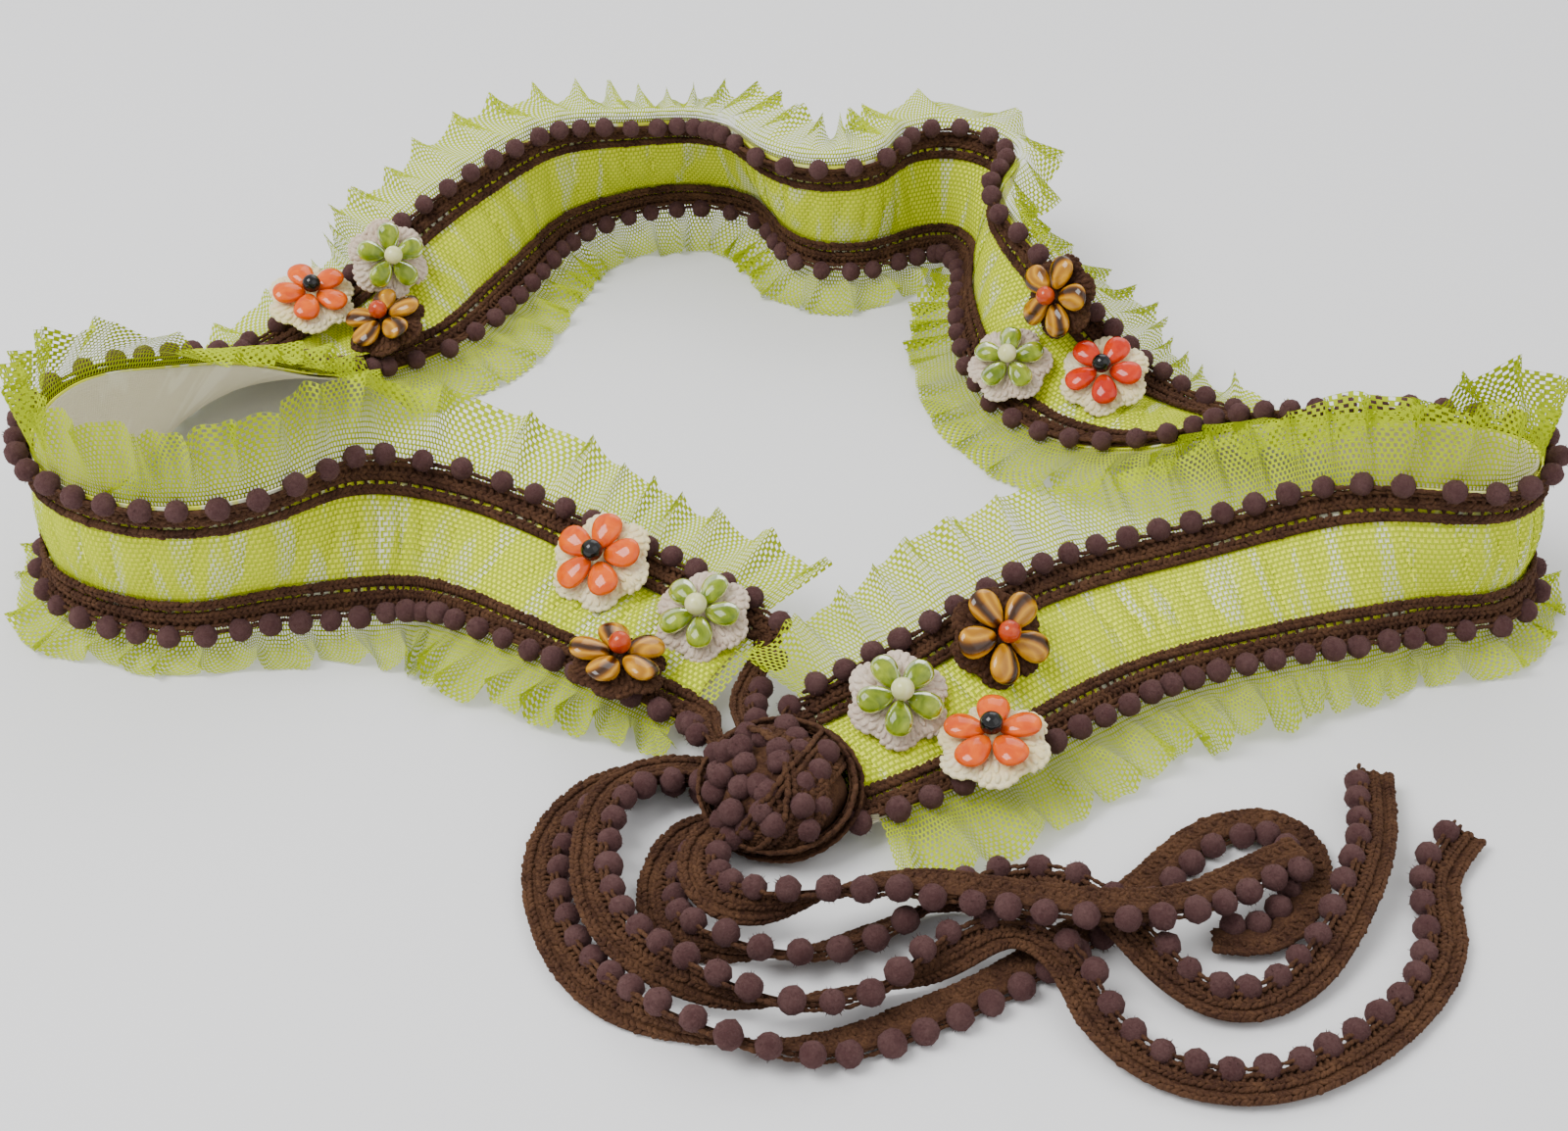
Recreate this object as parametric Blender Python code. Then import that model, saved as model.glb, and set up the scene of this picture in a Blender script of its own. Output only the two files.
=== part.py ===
"""Sash belt with net ruffles, pompom trims, bead flowers and a knot of crochet ties.

The belt lies in a loop.  Its band follows one smooth route through a table of
sections, and every strip on it is lofted through the frames of that route.
X runs to the right, Y away from the front, Z up, and the belt lies on Z = 0.
"""
import math

import bmesh
import bpy
import numpy as np
from mathutils import Matrix, Vector

# Driving sizes in metres
LOOP_SPAN = 0.400
LOOP_DEPTH = 0.300
BAND_WIDTH = 0.042
FACE_WIDTH = 0.0216
CLOTH_EDGE = 0.0015
CLOTH_WALL = 0.0010
NET_WALL = 0.0010
FIT_GAP = 0.0003
TAPE_WALL = 0.0014
POMPOM = 0.0058
RUFFLE_REACH = 0.0195
PLEAT_DEPTH = 0.0026
RUFFLE_CLEAR = 0.0009
FLOOR_GAP = 0.0001
FLOWER_WIDTH = 0.0250
FLOWER_WALL = 0.0034
PETAL_LENGTH = 0.0100
PETAL_WIDTH = 0.0067
PETAL_WALL = 0.0036
PETAL_RING = 0.0070
CENTRE_BEAD = 0.0058
TIE_TAPE = 0.0066
TIE_WALL = 0.0014
TIE_POMPOM = 0.0050
KNOT_WIDTH = 0.034
KNOT_DEPTH = 0.036
KNOT_HEIGHT = 0.022
TAIL_SPAN = 0.160
LAYER = 0.0062

# How finely the band is cut into sections
LONGEST_STEP = 0.022
SHORTEST_STEP = 0.010
MOST_TURN = math.radians(24)

# Section columns: place, x as a share of LOOP_SPAN, y as a share of LOOP_DEPTH,
# height of the band's middle as a share of BAND_WIDTH, roll (0 stands with its
# face outward, 90 lies face up, 180 stands with its face inward), how far each
# ruffle leans towards the face, and each ruffle's reach as a share of RUFFLE_REACH
SECTIONS = [
    ("left tip", -0.040, -0.250, 0.27, 76, 0, 14, 1.0, 0.25),
    ("left flowers", -0.100, -0.197, 0.33, 72, 0, 17, 1.0, 0.60),
    ("left front", -0.165, -0.140, 0.38, 68, 0, 20, 1.0, 1.0),
    ("left rise", -0.232, -0.103, 0.48, 55, 0, 28, 1.0, 1.0),
    ("left turn up", -0.280, -0.123, 0.64, 28, 0, 48, 1.0, 1.0),
    ("left dip", -0.328, -0.167, 0.74, -4, 0, 75, 1.0, 1.0),
    ("left stand", -0.382, -0.190, 0.74, -6, 0, 76, 1.0, 1.0),
    ("left corner", -0.435, -0.177, 0.74, -4, 0, 75, 1.0, 1.0),
    ("left bend", -0.478, -0.137, 0.74, 0, 0, 72, 1.0, 1.0),
    ("left fold", -0.498, -0.070, 0.74, 2, 0, 70, 1.0, 1.0),
    ("left return", -0.488, 0.007, 0.74, 6, -30, 67, 1.0, 1.0),
    ("left twist", -0.460, 0.077, 0.60, 20, -60, 62, 1.0, 1.0),
    ("left lie down", -0.433, 0.163, 0.43, 46, -30, 42, 1.0, 1.0),
    ("back left flat", -0.398, 0.260, 0.24, 76, -2, 8, 1.0, 1.0),
    ("back left flowers", -0.350, 0.333, 0.19, 96, 10, 0, 1.0, 1.0),
    ("back left rise", -0.303, 0.370, 0.36, 120, 26, -20, 1.0, 1.0),
    ("back left lean", -0.268, 0.423, 0.55, 142, 46, -45, 1.0, 1.0),
    ("back left stand", -0.228, 0.497, 0.69, 162, 60, -60, 1.0, 1.0),
    ("back corner", -0.188, 0.570, 0.76, 182, 74, -85, 1.0, 1.0),
    ("back crest", -0.133, 0.603, 0.79, 200, 84, -115, 1.0, 1.0),
    ("back middle", -0.075, 0.617, 0.79, 204, 86, -120, 1.0, 1.0),
    ("back turn", -0.033, 0.590, 0.79, 204, 86, -105, 1.0, 1.0),
    ("back slope", -0.010, 0.530, 0.79, 200, 84, -95, 1.0, 1.0),
    ("back hollow", 0.025, 0.490, 0.76, 194, 82, -95, 1.0, 1.0),
    ("back hollow end", 0.073, 0.497, 0.76, 186, 76, -90, 0.8, 1.0),
    ("crease start", 0.105, 0.540, 0.74, 168, 60, -80, 0.4, 1.0),
    ("crease", 0.145, 0.553, 0.72, 154, 40, -70, 0.3, 1.0),
    ("crease end", 0.172, 0.500, 0.73, 157, 50, -110, 0.5, 1.0),
    ("right wall", 0.163, 0.420, 0.74, 168, 64, -135, 1.0, 1.0),
    ("right wall end", 0.173, 0.327, 0.62, 156, 56, -115, 1.0, 1.0),
    ("back right flowers", 0.200, 0.253, 0.40, 130, 34, -60, 1.0, 1.0),
    ("back right flat", 0.235, 0.200, 0.26, 108, 12, -25, 1.0, 1.0),
    ("back right end", 0.275, 0.163, 0.24, 88, 0, -8, 1.0, 1.0),
    ("hidden start", 0.330, 0.127, 0.31, 66, -10, 26, 1.0, 1.0),
    ("hidden twist", 0.398, 0.053, 0.48, 44, -50, 46, 1.0, 1.0),
    ("hidden rise", 0.463, -0.033, 0.67, 20, -50, 60, 1.0, 1.0),
    ("right fold", 0.495, -0.113, 0.74, 4, 0, 68, 1.0, 1.0),
    ("right bend", 0.468, -0.167, 0.74, 2, 0, 70, 1.0, 1.0),
    ("right stand", 0.413, -0.177, 0.74, 8, 0, 66, 1.0, 1.0),
    ("right lean", 0.360, -0.170, 0.62, 38, 0, 38, 1.0, 1.0),
    ("right front", 0.295, -0.180, 0.48, 58, 0, 26, 1.0, 1.0),
    ("right middle", 0.225, -0.210, 0.43, 62, 0, 24, 1.0, 1.0),
    ("right swell", 0.155, -0.273, 0.45, 58, 0, 26, 1.0, 1.0),
    ("right flowers", 0.100, -0.323, 0.36, 68, 0, 18, 1.0, 1.0),
    ("right tip", 0.035, -0.367, 0.24, 78, 0, 12, 1.0, 1.0),
]

# Flower columns: name, share of the way along the band, share of BAND_WIDTH
# across it from the middle to the second edge, turn of the petals in degrees,
# extra lift as a share of POMPOM, colours
FLOWERS = [
    ("1_orange", 0.040, -0.24, 80, 0.1, "orange"),
    ("1_green", 0.010, -0.21, 20, -0.12, "green"),
    ("1_tiger", 0.017, 0.43, 45, 0.2, "tiger"),
    ("2_orange", 0.326, 0.29, 60, 1.13, "orange"),
    ("2_green", 0.354, 0.33, 90, 0.62, "green"),
    ("2_tiger", 0.341, -0.26, 10, 0.9, "tiger"),
    ("3_tiger", 0.651, 0.43, 30, 0.8, "tiger"),
    ("3_green", 0.655, -0.22, 75, 0.5, "green"),
    ("3_red", 0.676, 0.14, 50, 0.15, "red"),
    ("4_tiger", 0.955, -0.21, 85, -0.08, "tiger"),
    ("4_green", 0.983, -0.14, 15, 0.1, "green"),
    ("4_orange", 0.972, 0.41, 55, 0.3, "orange"),
]
PETALS = 5
LOBES = 6

# Tail columns: x and y from the knot's middle as shares of TAIL_SPAN, height of
# the tape's middle in layers of LAYER, roll in degrees (0 has the pompoms on the
# left of the way out, 180 on the right)
TAILS = {
    "tail_outer": [
        (-0.04, 0.03, 0.55, 0), (-0.16, 0.085, 0.50, 0), (-0.25, 0.07, 0.50, 0),
        (-0.31, 0.01, 0.50, 0), (-0.34, -0.10, 0.50, 0), (-0.32, -0.23, 0.50, 0),
        (-0.26, -0.35, 0.70, 20), (-0.16, -0.435, 1.03, 75), (-0.04, -0.48, 0.98, 130),
        (0.08, -0.475, 0.58, 172), (0.18, -0.43, 0.50, 180), (0.27, -0.38, 0.50, 180),
        (0.36, -0.315, 0.50, 180), (0.45, -0.24, 0.50, 180), (0.56, -0.13, 0.50, 180),
        (0.66, -0.04, 0.50, 180), (0.74, -0.035, 0.50, 180), (0.77, -0.10, 0.50, 180),
        (0.74, -0.20, 0.50, 180), (0.68, -0.26, 0.50, 180), (0.61, -0.26, 0.50, 180),
    ],
    "tail_second": [
        (-0.04, 0.01, 1.50, 0), (-0.15, 0.05, 1.60, 0), (-0.23, 0.02, 1.60, 0),
        (-0.265, -0.08, 1.60, 0), (-0.26, -0.20, 1.60, 0), (-0.21, -0.31, 1.60, 15),
        (-0.12, -0.38, 1.60, 55), (-0.01, -0.425, 1.55, 120), (0.10, -0.405, 1.30, 150),
        (0.18, -0.355, 1.20, 90), (0.25, -0.31, 1.35, 25), (0.32, -0.285, 1.45, 0),
        (0.39, -0.33, 1.40, 0), (0.43, -0.42, 0.90, 0), (0.50, -0.50, 0.50, 0),
        (0.62, -0.535, 0.50, 0), (0.76, -0.48, 0.50, 0), (0.87, -0.38, 0.50, 0),
        (0.93, -0.27, 0.50, 0), (0.95, -0.15, 0.50, 0), (1.02, -0.04, 0.50, 0),
    ],
    "tail_third": [
        (-0.04, -0.03, 0.55, 0), (-0.12, -0.04, 0.50, 0), (-0.16, -0.10, 0.50, 0),
        (-0.17, -0.17, 0.50, 0), (-0.155, -0.245, 0.72, 20), (-0.10, -0.29, 1.03, 70),
        (-0.03, -0.31, 1.00, 115), (0.05, -0.305, 0.85, 145), (0.13, -0.27, 0.85, 150),
        (0.20, -0.225, 0.98, 125), (0.26, -0.195, 1.03, 85), (0.32, -0.18, 1.20, 25),
        (0.40, -0.19, 1.50, 0), (0.475, -0.26, 1.50, 0), (0.53, -0.34, 1.10, 0),
        (0.61, -0.39, 0.60, 0), (0.70, -0.36, 0.60, 0), (0.78, -0.27, 1.00, 0),
        (0.84, -0.16, 1.50, 0), (0.88, -0.03, 1.20, 0), (0.90, 0.08, 0.90, 0),
    ],
    "tail_inner": [
        (-0.02, -0.04, 1.50, 0), (-0.08, -0.08, 1.55, 0), (-0.11, -0.14, 1.55, 0),
        (-0.10, -0.20, 1.60, 10), (-0.05, -0.245, 1.90, 50), (0.04, -0.25, 2.20, 110),
        (0.14, -0.235, 2.40, 160), (0.25, -0.25, 2.50, 180), (0.37, -0.275, 2.50, 180),
        (0.50, -0.285, 2.50, 180), (0.60, -0.235, 1.80, 180), (0.69, -0.17, 1.50, 180),
        (0.76, -0.13, 1.50, 180),
    ],
}

# Tie columns: which tip, which edge (-1 upper, 1 lower), then the tape's way to
# the knot from the knot's middle, x and y as shares of TAIL_SPAN, height in layers
TIES = {
    "tie_left_upper": ("left", -1, [(-0.04, 0.26, 1.85), (-0.05, 0.14, 2.3), (-0.03, 0.05, 2.4)]),
    "tie_left_lower": ("left", 1, [(-0.115, 0.12, 2.2), (-0.075, 0.04, 2.2)]),
    "tie_right_upper": ("right", -1, [(0.016, 0.11, 2.55), (0.02, 0.04, 2.6)]),
    "tie_right_lower": ("right", 1, [(0.04, -0.02, 1.4)]),
}
# The ties draw together to this share of their width at the knot
TIE_GATHER = 0.45
KNOT_FROM_TIPS = Vector((0.0, -0.180, 0.0))

COLOURS = {
    "lining": ((0.80, 0.76, 0.62), 0.85),
    "cover": ((0.52, 0.60, 0.04), 0.80),
    "net": ((0.45, 0.56, 0.02), 0.75),
    "crochet": ((0.055, 0.022, 0.016), 0.95),
    "cream": ((0.80, 0.72, 0.48), 0.95),
    "beige": ((0.56, 0.46, 0.40), 0.95),
    "orange": ((0.85, 0.16, 0.01), 0.12),
    "red": ((0.70, 0.04, 0.01), 0.12),
    "green": ((0.38, 0.52, 0.08), 0.10),
    "tiger": ((0.36, 0.16, 0.02), 0.15),
    "black": ((0.01, 0.01, 0.01), 0.12),
    "jade": ((0.62, 0.62, 0.34), 0.30),
    "carnelian": ((0.60, 0.10, 0.03), 0.20),
}
FLOWER_PARTS = {
    "orange": ("cream", "orange", "black"),
    "red": ("cream", "red", "black"),
    "green": ("beige", "green", "jade"),
    "tiger": ("crochet", "tiger", "carnelian"),
}
UP = Vector((0, 0, 1))


def material(name):
    """One Principled material for a named colour."""
    found = bpy.data.materials.get(name)
    if found:
        return found
    colour, roughness = COLOURS[name]
    made = bpy.data.materials.new(name)
    made.use_nodes = True
    shader = made.node_tree.nodes["Principled BSDF"]
    shader.inputs["Base Color"].default_value = (*colour, 1)
    shader.inputs["Roughness"].default_value = roughness
    shader.inputs["Metallic"].default_value = 0.0
    return made


def add_object(name, mesh_data, colour):
    """Link a bmesh as a named object and free it."""
    bmesh.ops.recalc_face_normals(mesh_data, faces=mesh_data.faces)
    if mesh_data.calc_volume(signed=True) < 0:
        bmesh.ops.reverse_faces(mesh_data, faces=mesh_data.faces)
    mesh = bpy.data.meshes.new(name)
    mesh_data.to_mesh(mesh)
    mesh_data.free()
    mesh.materials.append(material(colour))
    thing = bpy.data.objects.new(name, mesh)
    bpy.context.scene.collection.objects.link(thing)
    return thing


def smooth_curve(knots, values):
    """A natural cubic curve through the values, as a function of length."""
    count = len(knots)
    step = np.diff(knots)
    system = np.eye(count)
    right = np.zeros(count)
    for i in range(1, count - 1):
        system[i, i - 1:i + 2] = step[i - 1], 2 * (step[i - 1] + step[i]), step[i]
        slope_after = (values[i + 1] - values[i]) / step[i]
        slope_before = (values[i] - values[i - 1]) / step[i - 1]
        right[i] = 6 * (slope_after - slope_before)
    bend = np.linalg.solve(system, right)

    def value(place):
        i = int(np.clip(np.searchsorted(knots, place) - 1, 0, count - 2))
        a = (knots[i + 1] - place) / step[i]
        b = 1 - a
        curve = (a ** 3 - a) * bend[i] + (b ** 3 - b) * bend[i + 1]
        return a * values[i] + b * values[i + 1] + curve * step[i] ** 2 / 6

    return value


class Route:
    """A smooth route through table rows, with a rolled frame at every length."""

    def __init__(self, rows):
        rows = np.array(rows, dtype=float)
        legs = np.linalg.norm(np.diff(rows[:, :3], axis=0), axis=1)
        self.knots = np.concatenate([[0.0], np.cumsum(legs)])
        self.length = self.knots[-1]
        self.columns = [smooth_curve(self.knots, rows[:, i]) for i in range(rows.shape[1])]

    def point(self, place):
        return Vector([self.columns[i](place) for i in range(3)])

    def value(self, column, place):
        return self.columns[column](place)

    def frame(self, place):
        """Middle point, way along, way across and way out of the face."""
        reach = self.length / 2000
        along = self.point(min(place + reach, self.length)) - self.point(max(place - reach, 0))
        along.normalize()
        outward = UP.cross(along).normalized()
        lifted = along.cross(outward)
        roll = math.radians(self.columns[3](place))
        face = math.cos(roll) * outward + math.sin(roll) * lifted
        return self.point(place), along, face.cross(along), face

    def stations(self):
        """Lengths at which the route is cut: closer where it bends or twists."""
        fine = np.arange(0, self.length, self.length / 1500)
        cuts = [0.0]
        last = self.frame(0.0)
        for place in fine[1:]:
            now = self.frame(place)
            turn = max(now[1].angle(last[1]), now[2].angle(last[2]))
            run = place - cuts[-1]
            far_enough = run > SHORTEST_STEP and self.length - place > SHORTEST_STEP
            if far_enough and (run > LONGEST_STEP or turn > MOST_TURN):
                cuts.append(place)
                last = now
        return cuts + [self.length]


def loft(name, sections, guide, colour):
    """One closed body through sections, split along the same diagonal everywhere."""
    data = bmesh.new()
    rings = [[data.verts.new(point) for point in section] for section in sections]
    count = len(guide)
    for near, far in zip(rings, rings[1:]):
        for i in range(count):
            j = (i + 1) % count
            if guide[i] <= guide[j]:
                data.faces.new((near[i], near[j], far[j]))
                data.faces.new((near[i], far[j], far[i]))
            else:
                data.faces.new((near[i], near[j], far[i]))
                data.faces.new((near[j], far[j], far[i]))
    data.faces.new(rings[0])
    data.faces.new(rings[-1])
    return add_object(name, data, colour)


def band_strip(name, route, cuts, profile, colour):
    """A strip of the band whose profile lists (across, out) pairs in metres."""
    sections = []
    for place in cuts:
        middle, along, across, face = route.frame(place)
        sections.append([middle + across * u + face * v for u, v in profile])
    return loft(name, sections, [u for u, v in profile], colour)


HUB_TOP = PETAL_WALL * 0.66
CLOTH_HALF = BAND_WIDTH / 2 - CLOTH_EDGE
FACE_HALF = FACE_WIDTH / 2
TAPE_FLOOR = CLOTH_WALL + FIT_GAP
RIDGE = POMPOM / 2
RIDGE_TOP = TAPE_FLOOR + POMPOM


def flat_profile(low, high):
    """A cloth wall between two levels, broken where the trims begin."""
    marks = [-CLOTH_HALF, -FACE_HALF, FACE_HALF, CLOTH_HALF]
    return [(u, low) for u in marks] + [(u, high) for u in reversed(marks)]


def trim_profile(side):
    """The crochet tape with the pompom row as a ridge along its outer edge."""
    tape_top = TAPE_FLOOR + TAPE_WALL
    line = BAND_WIDTH / 2
    points = [
        (FACE_HALF, TAPE_FLOOR),
        (CLOTH_HALF, TAPE_FLOOR),
        (line + RIDGE * 0.55, TAPE_FLOOR + RIDGE * 0.32),
        (line + RIDGE, TAPE_FLOOR + RIDGE),
        (line, RIDGE_TOP),
        (line - RIDGE, tape_top + RIDGE * 0.1),
        (FACE_HALF, tape_top),
    ]
    return [(u * side, v) for u, v in points]


def off_floor(height):
    """A height eased up so that a net wall lies on the floor instead of in it."""
    lowest = NET_WALL / 2 + FLOOR_GAP
    above = height - lowest
    return lowest + (above + math.hypot(above, NET_WALL)) / 2


def ruffle(name, route, cuts, side, lean_column, reach_column):
    """A gathered net frill: flat under the pompoms, then pleated to its hem."""
    root_line = CLOTH_HALF + FIT_GAP
    fold_line = BAND_WIDTH / 2 + RIDGE + NET_WALL / 2 + RUFFLE_CLEAR
    level = NET_WALL / 2

    def lay(place, pleat):
        middle, along, across, face = route.frame(place)
        lean = math.radians(route.value(lean_column, place))
        way = across * (side * math.cos(lean)) + face * math.sin(lean)
        skin = along.cross(way).normalized() * side
        reach = RUFFLE_REACH * route.value(reach_column, place)
        flat = across * side
        root = middle + flat * root_line + face * level
        fold = middle + flat * fold_line + face * level
        tip = fold + way * reach + skin * (pleat * PLEAT_DEPTH * reach / RUFFLE_REACH)
        tip.z = off_floor(tip.z)
        fold.z = off_floor(fold.z)
        bend = (face + skin).normalized()
        return (root, face), (fold, bend), (tip, skin)

    data = bmesh.new()

    def pair(point, normal):
        half = normal * (NET_WALL / 2)
        return data.verts.new(point + half), data.verts.new(point - half)

    columns = [[pair(*spot) for spot in lay(place, 1)] for place in cuts]
    middles = [pair(*lay((a + b) / 2, -1)[2]) for a, b in zip(cuts, cuts[1:])]
    for (root_a, fold_a, tip_a), (root_b, fold_b, tip_b), mid in zip(columns, columns[1:], middles):
        for wall in (0, 1):
            data.faces.new((root_a[wall], root_b[wall], fold_b[wall]))
            data.faces.new((root_a[wall], fold_b[wall], fold_a[wall]))
            data.faces.new((fold_a[wall], fold_b[wall], mid[wall]))
            data.faces.new((fold_a[wall], mid[wall], tip_a[wall]))
            data.faces.new((fold_b[wall], tip_b[wall], mid[wall]))
        for near, far in ((root_a, root_b), (tip_a, mid), (mid, tip_b)):
            data.faces.new((near[0], far[0], far[1]))
            data.faces.new((near[0], far[1], near[1]))
    for column in (columns[0], columns[-1]):
        for near, far in zip(column, column[1:]):
            data.faces.new((near[0], far[0], far[1]))
            data.faces.new((near[0], far[1], near[1]))
    return add_object(name, data, "net")


def flower_base(name, place, colour):
    """A crochet disc with rounded lobes and a low crown."""
    data = bmesh.new()
    around = LOBES * 3
    rim = []
    floor = []
    for i in range(around):
        angle = math.tau * i / around
        radius = FLOWER_WIDTH / 2 * (0.95 + 0.05 * math.cos(LOBES * angle))
        spot = Vector((math.cos(angle) * radius, math.sin(angle) * radius, 0))
        floor.append(data.verts.new(spot * 0.92))
        rim.append(data.verts.new(spot + UP * (FLOWER_WALL * 0.62)))
    crown = data.verts.new(UP * FLOWER_WALL)
    data.faces.new(floor)
    for i in range(around):
        j = (i + 1) % around
        data.faces.new((floor[i], floor[j], rim[j], rim[i]))
        data.faces.new((rim[i], rim[j], crown))
    bmesh.ops.transform(data, matrix=place, verts=data.verts)
    return add_object(name, data, colour)


def dome(data, matrix, sides, levels):
    """A closed bead whose levels list (height, radius); ends close to a point."""
    rings = []
    for height, radius in levels:
        if radius == 0:
            rings.append([data.verts.new(matrix @ Vector((0, 0, height)))])
            continue
        ring = []
        for i in range(sides):
            angle = math.tau * i / sides
            spot = Vector((math.cos(angle) * radius, math.sin(angle) * radius, height))
            ring.append(data.verts.new(matrix @ spot))
        rings.append(ring)
    for low, high in zip(rings, rings[1:]):
        for i in range(sides):
            j = (i + 1) % sides
            if len(low) == 1:
                data.faces.new((low[0], high[i], high[j]))
            elif len(high) == 1:
                data.faces.new((low[i], low[j], high[0]))
            else:
                data.faces.new((low[i], low[j], high[j], high[i]))


def petal_ring(name, place, turn, colour):
    """Five flat oval beads round a thread hub, joined into one body."""
    hub_data = bmesh.new()
    hub_radius = PETAL_RING * 0.55
    low = PETAL_WALL * 0.12
    hub_place = place @ Matrix.Rotation(math.radians(turn + 9), 4, "Z")
    dome(hub_data, hub_place, 10, [(low, 0), (low, hub_radius), (HUB_TOP, hub_radius), (HUB_TOP, 0)])
    ring = add_object(name, hub_data, colour)
    for i in range(PETALS):
        angle = math.radians(turn) + math.tau * i / PETALS
        stretch = Matrix.Diagonal((PETAL_LENGTH / 2, PETAL_WIDTH / 2, PETAL_WALL, 1))
        stand = place @ Matrix.Rotation(angle, 4, "Z") @ Matrix.Translation((PETAL_RING, 0, 0))
        data = bmesh.new()
        dome(data, stand @ stretch, 10, [(0.0, 0), (0.40, 1.0), (0.86, 0.62), (1.0, 0)])
        petal = add_object(name + "_cutter_%d" % i, data, colour)
        petal.hide_render = True
        petal.display_type = "WIRE"
        join = ring.modifiers.new("join_%d" % i, "BOOLEAN")
        join.operation = "UNION"
        join.object = petal
    return ring


def centre_bead(name, place, colour):
    """A round bead on top of the petals."""
    radius = CENTRE_BEAD / 2
    levels = [(0.0, 0)]
    for tilt in (-45, 0, 45):
        angle = math.radians(tilt)
        levels.append((radius + radius * math.sin(angle), radius * math.cos(angle)))
    levels.append((2 * radius, 0))
    data = bmesh.new()
    dome(data, place, 10, levels)
    return add_object(name, data, colour)


def flower_place(route, share, across_share, lift):
    """Where a flower rests: its rim on the face, its other side on the pompoms."""
    middle, along, across, face = route.frame(share * route.length)
    offset = across_share * BAND_WIDTH
    side = 1 if offset >= 0 else -1
    radius = FLOWER_WIDTH / 2
    run = BAND_WIDTH / 2 - abs(offset) + radius
    rise = RIDGE_TOP - CLOTH_WALL
    tilt = math.atan2(rise, run)
    level = CLOTH_WALL + FIT_GAP + rise * radius / run + lift * POMPOM
    origin = middle + across * offset + face * level
    rows = Matrix((along, across, face)).transposed().to_4x4()
    rows = rows @ Matrix.Scale(-1, 4, (0, 1, 0)) if rows.determinant() < 0 else rows
    return Matrix.Translation(origin) @ Matrix.Rotation(side * tilt, 4, along) @ rows


def tie_profile():
    """The narrow tape of the ties with its pompom row, as (across, out) pairs."""
    left = -(TIE_TAPE + TIE_POMPOM) / 2
    crest = left + TIE_TAPE + TIE_POMPOM / 2
    half = TIE_WALL / 2
    bulge = TIE_POMPOM / 2
    return [(left, -half), (crest, -bulge), (crest + bulge, 0), (crest, bulge), (left, half)]


def tie_ribbon(name, rows, spacing, hand, gather):
    """A closed tape lofted along a route of (x, y, z, roll) rows."""
    route = Route(rows)
    steps = max(3, round(route.length / spacing))
    sections = []
    profile = tie_profile()
    for i in range(steps + 1):
        middle, along, across, face = route.frame(route.length * i / steps)
        wide = hand * (1 + (gather - 1) * i / steps)
        sections.append([middle + across * (wide * u) + face * v for u, v in profile])
    return loft(name, sections, [u for u, v in profile], "crochet")


def cut_clear(thing, cutter):
    """Cut a piece back to its seat against the cutter."""
    trim = thing.modifiers.new("seat", "BOOLEAN")
    trim.operation = "DIFFERENCE"
    trim.object = cutter


def knot_body(name, middle, swell, colour):
    """The lumpy knot: an egg with soft waves, cut flat where it rests."""
    data = bmesh.new()
    bmesh.ops.create_icosphere(data, subdivisions=2, radius=1.0)
    size = Vector((KNOT_WIDTH, KNOT_DEPTH, KNOT_HEIGHT * 1.16)) / 2
    for vert in data.verts:
        turn = math.atan2(vert.co.y, vert.co.x)
        wave = 1 + 0.05 * math.sin(5 * turn) * (1 - vert.co.z ** 2)
        direction = vert.co.copy()
        vert.co = Vector([direction[i] * (size[i] * wave + swell) for i in range(3)]) + middle
    floor = Vector((0, 0, -swell))
    geometry = data.verts[:] + data.edges[:] + data.faces[:]
    cut = bmesh.ops.bisect_plane(data, geom=geometry, plane_co=floor, plane_no=UP, clear_inner=True)
    rim = [item for item in cut["geom_cut"] if isinstance(item, bmesh.types.BMEdge)]
    bmesh.ops.contextual_create(data, geom=rim)
    return add_object(name, data, colour)


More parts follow.
